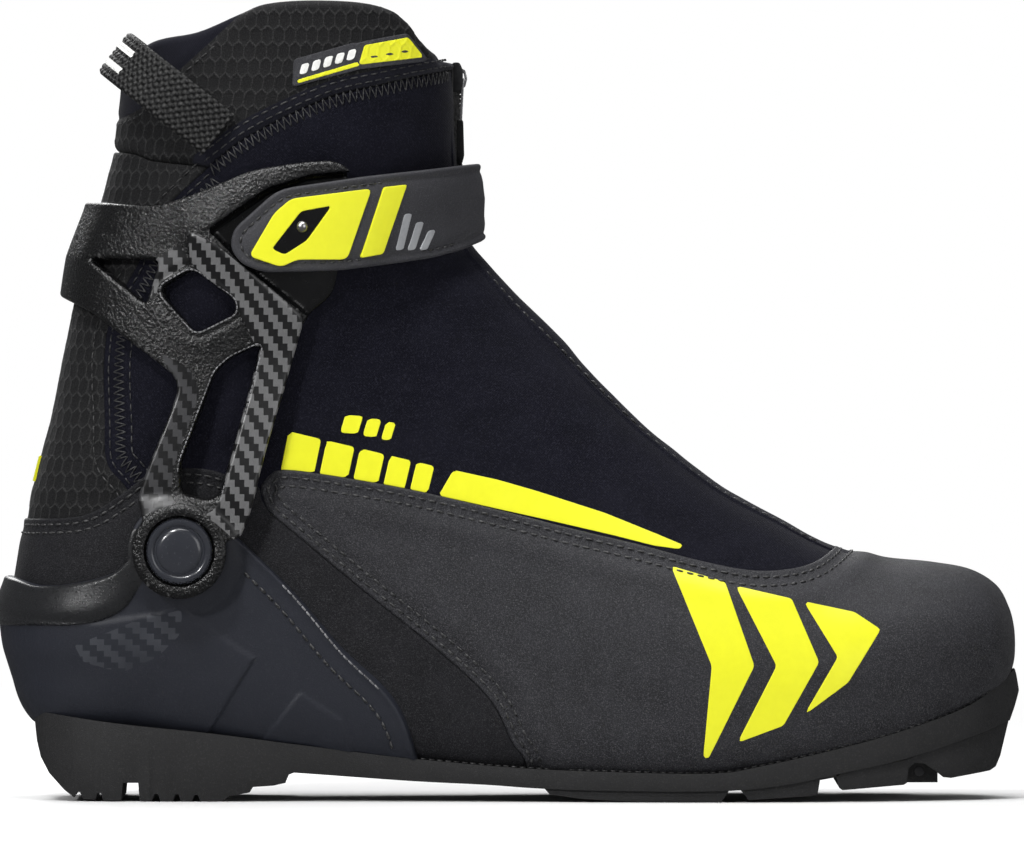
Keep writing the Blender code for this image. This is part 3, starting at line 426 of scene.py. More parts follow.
def mesh_piece(name, points, triangles, look, sharp=45, rest=None):
    """An object from points in millimetres; it keeps their places as the attribute rest for its material."""
    mesh = bpy.data.meshes.new(name)
    mesh.vertices.add(len(points))
    mesh.vertices.foreach_set("co", (np.asarray(points) * MM).astype(np.float32).ravel())
    mesh.loops.add(3 * len(triangles))
    mesh.loops.foreach_set("vertex_index", np.asarray(triangles, np.int32).ravel())
    mesh.polygons.add(len(triangles))
    mesh.polygons.foreach_set("loop_start", np.arange(0, 3 * len(triangles), 3, dtype=np.int32))
    mesh.update(calc_edges=True)
    mesh.validate()
    mesh.shade_smooth()
    mesh.set_sharp_from_angle(angle=math.radians(sharp))
    piece = bpy.data.objects.new(name, mesh)
    bpy.context.scene.collection.objects.link(piece)
    keep_places(piece, rest)
    if look:
        mesh.materials.append(LOOKS[look])
    return piece


def keep_places(piece, rest=None):
    """Write each point's place in millimetres (or around and along the last) for the material to read."""
    mesh = piece.data
    if rest is None:
        rest = np.empty(len(mesh.vertices) * 3, np.float32)
        mesh.vertices.foreach_get("co", rest)
        rest = rest / MM
    attribute = mesh.attributes.get("rest") or mesh.attributes.new("rest", "FLOAT_VECTOR", "POINT")
    attribute.data.foreach_set("vector", np.asarray(rest, np.float32).ravel())


def grown(sheet, grow):
    base = sheet.base()
    return last_points(sheet.u, sheet.phi, grow(base) if callable(grow) else grow)


def solid(name, sheet, outer, inner, look, bend=None, wrap=False, sharp=45, zones=()):
    """A closed piece between two growths of the last; bend moves its points, zones are (field, look)."""
    triangles = sheet.tidy().triangles
    base = sheet.base()
    sides = [grown(sheet, outer), grown(sheet, inner)]
    if bend:
        sides = [bend(points, base, side) for side, points in enumerate(sides)]
    count = len(base)
    edges = np.concatenate([triangles[:, (0, 1)], triangles[:, (1, 2)], triangles[:, (2, 0)]])
    key, reverse = edges[:, 0] * count + edges[:, 1], edges[:, 1] * count + edges[:, 0]
    a, b = edges[~np.isin(key, reverse)].T
    walls = np.concatenate([np.stack([b, a, a + count], 1), np.stack([b, a + count, b + count], 1)])
    faces = np.concatenate([triangles, triangles[:, ::-1] + count, walls])
    points = np.concatenate(sides)
    rest = None
    if wrap:
        rest = wrapped(sheet)
        rest = np.concatenate([rest, rest])
    piece = mesh_piece(name, points, faces, look, sharp, rest)
    for field, zone_look in zones:
        piece.data.materials.append(LOOKS[zone_look])
        middle = field(base)[triangles].mean(1) < 0
        slot = np.zeros(len(piece.data.polygons), np.int32)
        piece.data.polygons.foreach_get("material_index", slot)
        if len(slot) == len(faces):
            slot[: len(triangles)][middle] = len(piece.data.materials) - 1
            piece.data.polygons.foreach_set("material_index", slot)
    return piece


FINDER_U, FINDER_PHI = np.meshgrid(np.linspace(0.1, LAST_ROW, 541), np.linspace(2, 178, 177), indexing="ij")
FINDER = last_points(FINDER_U, FINDER_PHI, 0.0)[..., (0, 2)].reshape(-1, 2)


def on_last(line, side=1):
    """Station numbers and angles of side-view points on the lateral (1) or medial (-1) side."""
    line = np.asarray(line, float)
    pick = [int(np.argmin(((FINDER - p) ** 2).sum(1))) for p in line]
    u, phi = FINDER_U.ravel()[pick], FINDER_PHI.ravel()[pick]
    for _ in range(4):
        here = last_points(u, phi, 0.0)[:, (0, 2)]
        du = (last_points(u + 0.01, phi, 0.0)[:, (0, 2)] - here) / 0.01
        dphi = (last_points(u, phi + 0.1, 0.0)[:, (0, 2)] - here) / 0.1
        gap = line - here
        det = du[:, 0] * dphi[:, 1] - du[:, 1] * dphi[:, 0]
        det = np.where(np.abs(det) < 1e-3, 1e9, det)
        u = u + np.clip((gap[:, 0] * dphi[:, 1] - gap[:, 1] * dphi[:, 0]) / det, -0.5, 0.5)
        phi = phi + np.clip((du[:, 0] * gap[:, 1] - du[:, 1] * gap[:, 0]) / det, -5, 5)
        u, phi = np.clip(u, 0.05, LAST_ROW - 0.02), np.clip(phi, 1, 179)
    return u, side * phi


def threads(name, starts, ends, ups, radius, look):
    """Short rounded threads, each from a start to an end, lying on a surface that faces up."""
    starts, ends, ups = (np.asarray(v, float) for v in (starts, ends, ups))
    ups = ups / np.linalg.norm(ups, axis=1, keepdims=True)
    along = ends - starts
    length = np.linalg.norm(along, axis=1, keepdims=True)
    across = np.cross(along / length, ups)
    across /= np.linalg.norm(across, axis=1, keepdims=True)
    sides = 6
    stops = np.array((0.0, 0.16, 0.5, 0.84, 1.0))
    sizes = np.array((0.35, 0.9, 1.0, 0.9, 0.35)) * radius
    lifts = np.array((-0.6, 0.2, 0.45, 0.2, -0.6)) * radius
    turn = 2 * np.pi * np.arange(sides) / sides
    rings = []
    for stop, size, lift in zip(stops, sizes, lifts):
        middle = starts + along * stop + ups * lift
        for angle in turn:
            rings.append(middle + size * (math.cos(angle) * across + math.sin(angle) * ups))
    points = np.stack(rings, axis=1)
    faces = []
    for ring in range(len(stops) - 1):
        for k in range(sides):
            a, b = ring * sides + k, ring * sides + (k + 1) % sides
            faces += [(a, a + sides, b + sides), (a, b + sides, b)]
    top = (len(stops) - 1) * sides
    faces += [(0, k, k + 1) for k in range(1, sides - 1)]
    faces += [(top, top + k + 1, top + k) for k in range(1, sides - 1)]
    faces = np.array(faces)
    per = points.shape[1]
    all_faces = (faces[None] + per * np.arange(len(starts))[:, None, None]).reshape(-1, 3)
    return mesh_piece(name, points.reshape(-1, 3), all_faces, look, sharp=80)


def seam_places(line, side, height):
    """Places and outward directions along a side-view line at a height over the last.

    Stretches of the line that miss the last are left out. The height may be a growth function.
    """
    u, phi = on_last(line, side)
    flat = last_points(u, phi, 0.0)
    met = np.linalg.norm(flat[:, (0, 2)] - np.asarray(line), axis=1) < 0.8
    u, phi, flat = u[met], phi[met], flat[met]
    if callable(height):
        height = height(np.column_stack([flat, u, phi]))
    low, high = last_points(u, phi, height), last_points(u, phi, height + 1.0)
    up = high - low
    return low, up / np.linalg.norm(up, axis=1, keepdims=True)


def every(places, ups, pitch):
    """A path and its outward directions read at equal steps of its length."""
    run = np.concatenate([[0], np.cumsum(np.linalg.norm(np.diff(places, axis=0), axis=1))])
    stops = np.arange(0, run[-1], pitch)
    return tuple(np.stack([np.interp(stops, run, v[:, k]) for k in range(3)], axis=1) for v in (places, ups))


def running_stitches(name, paths, step, length, gap, radius, look):
    """Threads with gaps between them along paths that are read every step."""
    starts, ends, ups = [], [], []
    long, pitch = max(1, round(length / step)), max(2, round((length + gap) / step))
    for places, up in paths:
        head = np.arange(0, len(places) - pitch, pitch)
        whole = np.linalg.norm(places[head + long] - places[head], axis=1) < 1.3 * length
        head = head[whole]
        starts.append(places[head])
        ends.append(places[head + long])
        ups.append(up[head])
    return threads(name, np.concatenate(starts), np.concatenate(ends), np.concatenate(ups), radius, look)


def stitch_rows(name, rows, height, look="thread", length=2.3, gap=0.9, radius=0.36, sides=(1, -1)):
    """Running stitches along side-view lines, on both sides of the boot."""
    step = 0.35
    paths = [every(*seam_places(line, side, height), step) for line in rows for side in sides]
    return running_stitches(name, paths, step, length, gap, radius, look)


def zigzag(name, rows, height, width=4.0, pitch=1.05, radius=0.2, look="thread", sides=(1, -1)):
    """A zigzag seam: threads that cross a side-view line from one edge to the other."""
    starts, ends, ups = [], [], []
    for line in rows:
        for side in sides:
            places, up = seam_places(line, side, height)
            fine, fine_up = every(places, up, pitch)
            tangent = np.gradient(fine, axis=0)
            across = np.cross(tangent, fine_up)
            across /= np.linalg.norm(across, axis=1, keepdims=True)
            flip = np.where(np.arange(len(fine)) % 2 == 0, 0.5, -0.5)[:, None] * width
            corner = fine + across * flip
            whole = np.linalg.norm(np.diff(fine, axis=0), axis=1) < 1.5 * pitch
            starts.append(corner[:-1][whole])
            ends.append(corner[1:][whole])
            ups.append(fine_up[:-1][whole])
    return threads(name, np.concatenate(starts), np.concatenate(ends), np.concatenate(ups), radius, look)


HEX_PITCH = 5.4


# --- materials --------------------------------------------------------------------------------------------
class Look:
    """A procedural material: each method adds nodes and returns the socket that they feed."""

    def __init__(self, name, places="rest", **values):
        self.material = bpy.data.materials.new(name)
        self.material.use_nodes = True
        self.tree = self.material.node_tree
        self.shader = self.tree.nodes["Principled BSDF"]
        for socket, value in values.items():
            self.shader.inputs[socket.replace("_", " ")].default_value = value
        if places == "rest":
            node = self.tree.nodes.new("ShaderNodeAttribute")
            node.attribute_name = "rest"
            self.places = node.outputs["Vector"]
        else:
            node = self.tree.nodes.new("ShaderNodeTexCoord")
            scale = self.node("ShaderNodeVectorMath", operation="SCALE")
            self.tree.links.new(node.outputs["Object"], scale.inputs[0])
            scale.inputs["Scale"].default_value = 1 / MM
            self.places = scale.outputs[0]

    def node(self, kind, **settings):
        node = self.tree.nodes.new(kind)
        for key, value in settings.items():
            setattr(node, key, value)
        return node

    def feed(self, socket, value):
        if isinstance(value, bpy.types.NodeSocket):
            self.tree.links.new(value, socket)
        else:
            socket.default_value = value

    def math(self, operation, a, b=0.0, clamp=False):
        node = self.node("ShaderNodeMath", operation=operation, use_clamp=clamp)
        self.feed(node.inputs[0], a)
        self.feed(node.inputs[1], b)
        return node.outputs[0]

    def split(self):
        node = self.node("ShaderNodeSeparateXYZ")
        self.feed(node.inputs[0], self.places)
        return node.outputs

    def noise(self, scale, detail=3.0, roughness=0.6, stretch=None):
        """Noise with features about 1/scale millimetres across."""
        where = self.places
        if stretch:
            mapping = self.node("ShaderNodeVectorMath", operation="MULTIPLY")
            self.feed(mapping.inputs[0], where)
            mapping.inputs[1].default_value = stretch
            where = mapping.outputs[0]
        node = self.node("ShaderNodeTexNoise")
        self.feed(node.inputs["Vector"], where)
        node.inputs["Scale"].default_value = scale
        node.inputs["Detail"].default_value = detail
        node.inputs["Roughness"].default_value = roughness
        return node.outputs["Fac"]

    def cells(self, scale, feature="F1", output="Distance"):
        node = self.node("ShaderNodeTexVoronoi", feature=feature)
        self.feed(node.inputs["Vector"], self.places)
        node.inputs["Scale"].default_value = scale
        return node.outputs[output]

    def between(self, value, low, high, to_low=0.0, to_high=1.0):
        node = self.node("ShaderNodeMapRange")
        self.feed(node.inputs["Value"], value)
        for socket, number in zip(
            ("From Min", "From Max", "To Min", "To Max"), (low, high, to_low, to_high)
        ):
            node.inputs[socket].default_value = number
        return node.outputs["Result"]

    def mix(self, factor, first, second):
        node = self.node("ShaderNodeMix", data_type="RGBA")
        self.feed(node.inputs["Factor"], factor)
        colours = [socket for socket in node.inputs if socket.type == "RGBA"]
        for socket, colour in zip(colours, (first, second)):
            self.feed(socket, colour if isinstance(colour, bpy.types.NodeSocket) else (*colour, 1))
        return [socket for socket in node.outputs if socket.type == "RGBA"][0]

    def weave(self, pitch):
        """Over-and-under threads in the plane of the first and third coordinate."""
        x, _, z = self.split()
        waves = [self.math("SINE", self.math("MULTIPLY", axis, 2 * math.pi / pitch)) for axis in (x, z)]
        return self.between(self.math("MULTIPLY", *waves), -1, 1)

    def twill(self, width, height):
        """1 on the light cells of a 2 x 2 twill, 0 on the dark ones."""
        x, _, z = self.split()
        cell = [self.math("FLOOR", self.math("DIVIDE", a, size)) for a, size in ((x, width), (z, height))]
        return self.math("LESS_THAN", self.math("FLOORED_MODULO", self.math("ADD", *cell), 4.0), 1.9)

    def hexagons(self, pitch):
        """Distance from the edges of hexagonal cells: 0 on an edge, 0.5 at a middle."""
        x, _, z = self.split()
        tall = math.sqrt(3)
        x, z = self.math("DIVIDE", x, pitch), self.math("DIVIDE", z, pitch)
        squares = []
        for shift in (0.0, 0.5):
            a = self.math("SUBTRACT", self.math("FLOORED_MODULO", self.math("ADD", x, shift), 1.0), 0.5)
            b = self.math("ADD", z, shift * tall)
            b = self.math("SUBTRACT", self.math("FLOORED_MODULO", b, tall), tall / 2)
            a, b = self.math("ABSOLUTE", a), self.math("ABSOLUTE", b)
            slanted = self.math("ADD", self.math("MULTIPLY", a, 0.5), self.math("MULTIPLY", b, tall / 2))
            squares.append(self.math("MAXIMUM", a, slanted))
        return self.math("SUBTRACT", 0.5, self.math("MINIMUM", *squares))

    def colour(self, socket):
        self.feed(self.shader.inputs["Base Color"], socket)
        return self

    def rough(self, value, low, high):
        self.feed(self.shader.inputs["Roughness"], self.between(value, 0.25, 0.75, low, high))
        return self

    def bump(self, height, depth, strength=1.0):
        """Relief of a height field (0 to 1) that is depth millimetres deep, over what is already there."""
        node = self.node("ShaderNodeBump")
        node.inputs["Strength"].default_value = strength
        node.inputs["Distance"].default_value = depth * MM
        self.feed(node.inputs["Height"], height)
        normal = self.shader.inputs["Normal"]
        if normal.is_linked:
            self.tree.links.new(normal.links[0].from_socket, node.inputs["Normal"])
        self.feed(normal, node.outputs["Normal"])
        return self

    def painted_edge_highlight(self, colour, edge, low=0.51, high=0.56):
        """The colour, lighter on convex edges: a painted highlight along them."""
        geometry = self.node("ShaderNodeNewGeometry")
        return self.mix(self.between(geometry.outputs["Pointiness"], low, high), colour, edge)


SKIN_TONES = [(0.0080, 0.0080, 0.0104), (0.0140, 0.0140, 0.0180), (0.040, 0.040, 0.045), (0.10, 0.10, 0.107)]


def make_looks():
    looks = {}

    def add(name, look):
        looks[name] = look.material

    cloth = Look("softshell", Roughness=0.8, Sheen_Weight=0.05, Sheen_Roughness=0.4, Specular_IOR_Level=0.08)
    patches = cloth.noise(0.09, 4)
    base = cloth.mix(cloth.between(patches, 0.3, 0.7), (0.0028, 0.0029, 0.0062), (0.0050, 0.0051, 0.0098))
    cloth.colour(
        cloth.mix(cloth.between(cloth.noise(1.9, 2), 0.5, 0.75, 0, 0.8), base, (0.017, 0.017, 0.026))
    )
    cloth.rough(cloth.noise(0.8), 0.66, 0.9)
    cloth.bump(cloth.weave(0.75), 0.06).bump(cloth.noise(1.6, 2), 0.14)
    add("softshell", cloth)

    for name, depth in (("synthetic", 1.0), ("dark_synthetic", 0.55)):
        skin = Look(name, Roughness=0.6, Sheen_Weight=0.03, Specular_IOR_Level=0.3 * depth)
        tones = [tuple(depth * part for part in tone) for tone in SKIN_TONES]
        base = skin.mix(skin.between(skin.noise(0.12, 5), 0.3, 0.7), tones[0], tones[1])
        base = skin.mix(skin.between(skin.noise(2.2, 2), 0.5, 0.72, 0, 0.9), base, tones[2])
        skin.colour(skin.mix(skin.between(skin.noise(3.4, 2), 0.56, 0.74, 0, 0.8), base, tones[3]))
        skin.rough(skin.noise(0.9, 4), 0.46, 0.66)
        skin.bump(skin.noise(2.6, 4), 0.22).bump(skin.cells(1.5), 0.05)
        add(name, skin)

    mesh = Look("hex_mesh", Roughness=0.75, Sheen_Weight=0.03, Sheen_Roughness=0.5, Specular_IOR_Level=0.25)
    line = mesh.between(mesh.hexagons(HEX_PITCH), 0.03, 0.085, 1.0, 0.0)
    dots = mesh.between(mesh.noise(1.7, 2), 0.42, 0.6)
    grain = mesh.between(mesh.noise(2.0, 2), 0.46, 0.7)
    base = mesh.mix(grain, (0.0022, 0.0022, 0.0028), (0.015, 0.015, 0.016))
    mesh.colour(mesh.mix(mesh.math("MULTIPLY", line, dots), base, (0.030, 0.030, 0.030)))
    mesh.rough(mesh.noise(1.5), 0.5, 0.8)
    mesh.bump(line, 0.10).bump(mesh.noise(2.0, 2), 0.25)
    add("hex_mesh", mesh)

    lining = Look("lining", Roughness=0.85, Sheen_Weight=0.06, Specular_IOR_Level=0.14)
    base = lining.mix(lining.noise(0.2, 4), (0.0044, 0.0046, 0.0085), (0.0075, 0.0078, 0.0135))
    lining.colour(
        lining.mix(lining.between(lining.noise(1.9, 2), 0.5, 0.75, 0, 0.8), base, (0.017, 0.017, 0.026))
    )
    lining.rough(lining.noise(1.0), 0.75, 0.92)
    lining.bump(lining.weave(0.9), 0.06).bump(lining.noise(1.4), 0.05)
    add("lining", lining)

    tpu = Look("shell_plastic", Roughness=0.5, Specular_IOR_Level=0.3)
    tone = tpu.mix(tpu.noise(0.08, 4), (0.0120, 0.0135, 0.0200), (0.0170, 0.0188, 0.0265))
    tpu.colour(tpu.mix(tpu.between(tpu.noise(2.0, 2), 0.55, 0.75, 0, 0.6), tone, (0.026, 0.028, 0.036)))
    tpu.rough(tpu.noise(0.7, 4), 0.42, 0.56)
    tpu.bump(tpu.noise(2.2, 3), 0.07)
    add("shell_plastic", tpu)

    faint = Look("shell_carbon", Roughness=0.5, Specular_IOR_Level=0.3)
    weave = faint.twill(2.1, 1.7)
    fade = faint.between(faint.noise(0.05, 2), 0.35, 0.65, 0.3, 1.0)
    faint.colour(
        faint.mix(faint.math("MULTIPLY", weave, fade), (0.0145, 0.0165, 0.0230), (0.040, 0.043, 0.052))
    )
    faint.rough(faint.noise(0.7, 4), 0.42, 0.56)
    faint.bump(faint.noise(2.2, 3), 0.03)
    add("shell_carbon", faint)

    band = Look("shell_gloss", Roughness=0.26, Specular_IOR_Level=0.75)
    band.colour(band.mix(band.noise(0.1, 4), (0.007, 0.0074, 0.0085), (0.012, 0.0124, 0.014)))
    band.rough(band.noise(1.2, 4), 0.24, 0.36)
    band.bump(band.noise(1.9, 3), 0.10)
    add("shell_gloss", band)

    cuff = Look("cuff_plastic", Roughness=0.3, Specular_IOR_Level=0.6)
    tone = cuff.mix(cuff.noise(0.1, 4), (0.0022, 0.0022, 0.0025), (0.0042, 0.0042, 0.0046))
    # Convex edges of the cuff are painted lighter: a painted highlight.
    cuff.colour(cuff.painted_edge_highlight(tone, (0.05, 0.05, 0.05), 0.56, 0.7))
    cuff.rough(cuff.noise(1.0, 4), 0.2, 0.36)
    cuff.bump(cuff.noise(1.1, 2), 0.5)
    add("cuff_plastic", cuff)

    smooth_cuff = Look("cuff_smooth", Roughness=0.22, Specular_IOR_Level=0.55)
    tone = smooth_cuff.mix(smooth_cuff.noise(0.1, 4), (0.0020, 0.0020, 0.0024), (0.0036, 0.0036, 0.0040))
    # Convex edges of the smooth wing are painted lighter: a painted highlight.
    smooth_cuff.colour(smooth_cuff.painted_edge_highlight(tone, (0.04, 0.04, 0.04), 0.56, 0.7))
    smooth_cuff.rough(smooth_cuff.noise(0.6, 4), 0.18, 0.3)
    smooth_cuff.bump(smooth_cuff.noise(1.2, 3), 0.02)
    add("cuff_smooth", smooth_cuff)

    carbon = Look(
        "cuff_carbon", Roughness=0.34, Specular_IOR_Level=0.55, Coat_Weight=0.25, Coat_Roughness=0.2
    )
    weave = carbon.twill(1.4, 2.1)
    fibre = carbon.noise(2.0, 3, stretch=(6.0, 1.0, 0.6))
    light = carbon.mix(fibre, (0.060, 0.060, 0.062), (0.150, 0.150, 0.152))
    carbon.colour(carbon.mix(weave, (0.0040, 0.0040, 0.0045), light))
    carbon.rough(fibre, 0.28, 0.42)
    carbon.bump(weave, 0.04).bump(fibre, 0.03)
    add("cuff_carbon", carbon)

    dark_weave = Look("carbon_dark", Roughness=0.34, Specular_IOR_Level=0.5)
    weave = dark_weave.twill(1.4, 2.1)
    dark_weave.colour(dark_weave.mix(weave, (0.004, 0.004, 0.0045), (0.034, 0.034, 0.036)))
    dark_weave.rough(dark_weave.noise(1.5, 3), 0.28, 0.42)
    dark_weave.bump(weave, 0.04)
    add("carbon_dark", dark_weave)

    rubber = Look("sole_rubber", Roughness=0.6, Specular_IOR_Level=0.26)
    tone = rubber.mix(rubber.noise(0.12, 5), (0.0130, 0.0130, 0.0136), (0.0200, 0.0200, 0.0208))
    rubber.colour(
        rubber.mix(rubber.between(rubber.noise(2.1, 2), 0.55, 0.75, 0, 0.8), tone, (0.036, 0.036, 0.037))
    )
    rubber.rough(rubber.noise(1.1, 4), 0.52, 0.72)
    rubber.bump(rubber.noise(2.4, 4), 0.12)
    add("sole_rubber", rubber)

    strap = Look("strap", Roughness=0.5, Specular_IOR_Level=0.3)
    tone = strap.mix(strap.noise(0.15, 4), (0.0270, 0.0270, 0.0315), (0.0370, 0.0370, 0.0420))
    strap.colour(
        strap.mix(strap.between(strap.noise(3.0, 2), 0.52, 0.72, 0, 0.8), tone, (0.075, 0.075, 0.082))
    )
    strap.rough(strap.noise(0.9, 4), 0.42, 0.58)
    strap.bump(strap.noise(2.4, 4), 0.14).bump(strap.cells(1.2), 0.03)
    add("strap", strap)

    yellow = Look("yellow", Roughness=0.42, Specular_IOR_Level=0.45)
    yellow.colour(yellow.mix(yellow.noise(0.3, 4), (0.66, 0.66, 0.006), (0.74, 0.74, 0.012)))
    yellow.rough(yellow.noise(1.1, 4), 0.36, 0.5)
    yellow.bump(yellow.noise(2.6, 4), 0.03)
    add("yellow", yellow)

    silver = Look("silver_print", Roughness=0.4, Metallic=0.35)
    silver.colour(silver.mix(silver.noise(0.8, 4), (0.30, 0.31, 0.33), (0.46, 0.47, 0.49)))
    silver.rough(silver.noise(1.1, 4), 0.3, 0.45)
    add("silver_print", silver)

    webbing = Look("webbing", Roughness=0.8, Sheen_Weight=0.04, Specular_IOR_Level=0.25)
    webbing.colour(
        webbing.mix(
            webbing.between(webbing.noise(1.6, 2), 0.35, 0.7), (0.0030, 0.0030, 0.0034),
            (0.030, 0.030, 0.030)
        )
    )
    webbing.rough(webbing.noise(1.5), 0.68, 0.88)
    webbing.bump(webbing.noise(2.4, 3), 0.12)
    add("webbing", webbing)

    ribbed = Look("ribbed_webbing", Roughness=0.6, Specular_IOR_Level=0.35)
    knots = ribbed.between(ribbed.weave(2.3), 0.5, 0.9)
    ribbed.colour(
        ribbed.mix(
            ribbed.math("MULTIPLY", knots, ribbed.noise(1.2, 2)), (0.0030, 0.0030, 0.0034),
            (0.06, 0.06, 0.058)
        )
    )
    ribbed.rough(ribbed.noise(1.5), 0.5, 0.8)
    ribbed.bump(ribbed.weave(2.3), 0.5).bump(ribbed.noise(2.4, 3), 0.1)
    add("ribbed_webbing", ribbed)

    # A light grey look for thin beads along edges: painted highlight, standing in for the gleam of an edge.
    edge = Look("painted_highlight_bead", Roughness=0.3, Specular_IOR_Level=0.6)
    edge.colour(
        edge.mix(edge.between(edge.noise(0.5, 3), 0.35, 0.65), (0.05, 0.05, 0.052), (0.24, 0.24, 0.25))
    )
    edge.rough(edge.noise(1.4), 0.22, 0.4)
    add("painted_highlight_bead", edge)

    white = Look("white_weave", Roughness=0.7, Sheen_Weight=0.2)
    white.colour(white.mix(white.noise(1.2, 3), (0.62, 0.62, 0.60), (0.82, 0.82, 0.80)))
    white.rough(white.noise(1.5), 0.6, 0.8)
    white.bump(white.noise(2.4, 3), 0.12)
    add("white_weave", white)

    thread = Look("thread", Roughness=0.45, Specular_IOR_Level=0.5)
    thread.colour(
        thread.mix(
            thread.between(thread.noise(1.4, 2), 0.4, 0.7), (0.006, 0.006, 0.0065),
            (0.065, 0.065, 0.066)
        )
    )
    thread.rough(thread.noise(1.5), 0.35, 0.6)
    add("thread", thread)

    dim = Look("dark_steel", "object", Metallic=1.0, Roughness=0.4)
    dim.colour(dim.mix(dim.noise(0.6, 4), (0.10, 0.10, 0.105), (0.18, 0.18, 0.185)))
    dim.rough(dim.noise(1.4, 4), 0.32, 0.5)
    add("dark_steel", dim)

    steel = Look("steel", Metallic=1.0, Roughness=0.3)
    steel.colour(steel.mix(steel.noise(0.6, 4), (0.42, 0.42, 0.43), (0.62, 0.62, 0.63)))
    steel.rough(steel.noise(1.4, 4), 0.22, 0.38)
    steel.bump(steel.noise(2.0, 3, stretch=(1, 5, 1)), 0.02)
    add("steel", steel)

    dark = Look("dark_metal", Metallic=0.8, Roughness=0.35)
    dark.colour(dark.mix(dark.noise(0.5, 4), (0.020, 0.020, 0.022), (0.05, 0.05, 0.052)))
    dark.rough(dark.noise(1.4, 4), 0.28, 0.45)
    add("dark_metal", dark)

    board = Look("board", "object", Roughness=0.8)
    board.colour(board.mix(board.noise(0.4, 5), (0.20, 0.17, 0.13), (0.30, 0.27, 0.22)))
    board.rough(board.noise(1.0), 0.7, 0.9)
    board.bump(board.noise(1.5, 4), 0.05)
    add("board", board)

    foam = Look("foam", "object", Roughness=0.9, Sheen_Weight=0.2)
    foam.colour(foam.mix(foam.cells(0.9), (0.025, 0.025, 0.03), (0.06, 0.06, 0.07)))
    foam.rough(foam.noise(1.0), 0.8, 0.95)
    foam.bump(foam.cells(0.9), 0.2)
    add("foam", foam)

    cap = Look("cap_plastic", Roughness=0.22, Specular_IOR_Level=0.6, Coat_Weight=0.3, Coat_Roughness=0.12)
    cap.colour(cap.mix(cap.noise(0.2, 4), (0.0180, 0.0195, 0.0250), (0.0250, 0.0270, 0.0340)))
    cap.rough(cap.noise(1.0, 4), 0.18, 0.3)
    add("cap_plastic", cap)
    return looks


LOOKS = make_looks()
SLOTS = {name: name for name in LOOKS}
SLOTS |= {"shell_carbon": "shell_plastic", "shell_gloss": "shell_plastic", "cuff_smooth": "cuff_plastic"}
SLOTS |= {
    "cuff_carbon": "cuff_plastic", "silver_print": "strap", "white_weave": "webbing",
    "thread": "webbing"
}
SLOTS |= {
    "dark_steel": "steel", "dark_metal": "steel", "carbon_dark": "cuff_plastic",
    "cap_plastic": "cuff_plastic"
}
SLOTS |= {"foam": "footbed_foam", "ribbed_webbing": "webbing", "painted_highlight_bead": "cuff_plastic"}
SLOTS |= {"dark_synthetic": "synthetic"}


def repaint(look, *names):
    """A CAD node that stays gets its finished material."""
    for name in names:
        data = NODES[name].data
        data.materials.clear()
        data.materials.append(LOOKS[look])


def on_boot(*pieces):
    for piece in pieces:
        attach(piece, "boot")


def on_shaft(*pieces):
    """Pieces of the soft shaft, with their placement baked into their points."""
    for piece in pieces:
        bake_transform(piece)


def bent_stiffeners(look, *nodes):
    """Stiffeners sewn into the shaft, as copies of their nodes that go with the shaft's pieces."""
    for node in nodes:
        piece = bpy.data.objects.new(node + "_sewn_in", NODES[node].data.copy())
        piece.matrix_world = NODES[node].matrix_world
        bpy.context.scene.collection.objects.link(piece)
        piece.data.materials.clear()
        piece.data.materials.append(LOOKS[look])
        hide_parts(node)
        on_shaft(piece)


# --- the upper --------------------------------------------------------------------------------------------
def noise_field(seed, scale, count=28):
    """A soft random field over the boot: a sum of waves in fixed random directions."""
    rng = np.random.default_rng(seed)
    directions = rng.normal(size=(count, 3))
    directions /= np.linalg.norm(directions, axis=1, keepdims=True)
    pitch = scale * rng.uniform(0.6, 1.8, count)
    phase = rng.uniform(0, 2 * np.pi, count)

    def field(points):
        waves = np.sin(points[:, :3] @ directions.T * (2 * np.pi / pitch) + phase)
        return waves.sum(1) / math.sqrt(count)

    return field


def channel(gap, width, depth):
    """A sewn-down band where a signed distance is small."""
    return -depth * np.exp(-((gap / width) ** 2))


def edge_roll(field, radius, depth=None):
    """How far a surface falls towards the edge of a field to round it."""
    depth = radius if depth is None else depth

    def fall(points):
        q = np.clip(-field(points) / radius, 0, 1)
        return depth * (1 - np.sqrt(np.maximum(1 - (1 - q) ** 2, 0)))

    return fall


FACES = {}
vamp_top, vamp_back = smooth(VAMP_TOP), smooth(VAMP_BACK)
foxing_top, shaft_seam = smooth(FOXING_TOP), smooth(SHAFT_SEAM)
collar_seam, collar_back = smooth(COLLAR_SEAM), smooth(COLLAR_BACK)
tab_edge, rim = smooth(HEEL_TAB_EDGE), smooth(RIM)
by_vamp_top, by_vamp_back, by_foxing_top = beside(vamp_top), beside(vamp_back), beside(foxing_top)
by_shaft_seam, by_collar_seam, by_collar_back = beside(shaft_seam), beside(collar_seam), beside(collar_back)
by_tab_edge = beside(tab_edge)
VAMP = np.concatenate([vamp_top, [(110, 100), (170, 100), (170, -10)], vamp_back[::-1]])
FOXING = np.concatenate([foxing_top, vamp_back[1:], [(-160, -10)]])
wrinkle, fine_wrinkle = noise_field(3, 34.0), noise_field(5, 11.0)


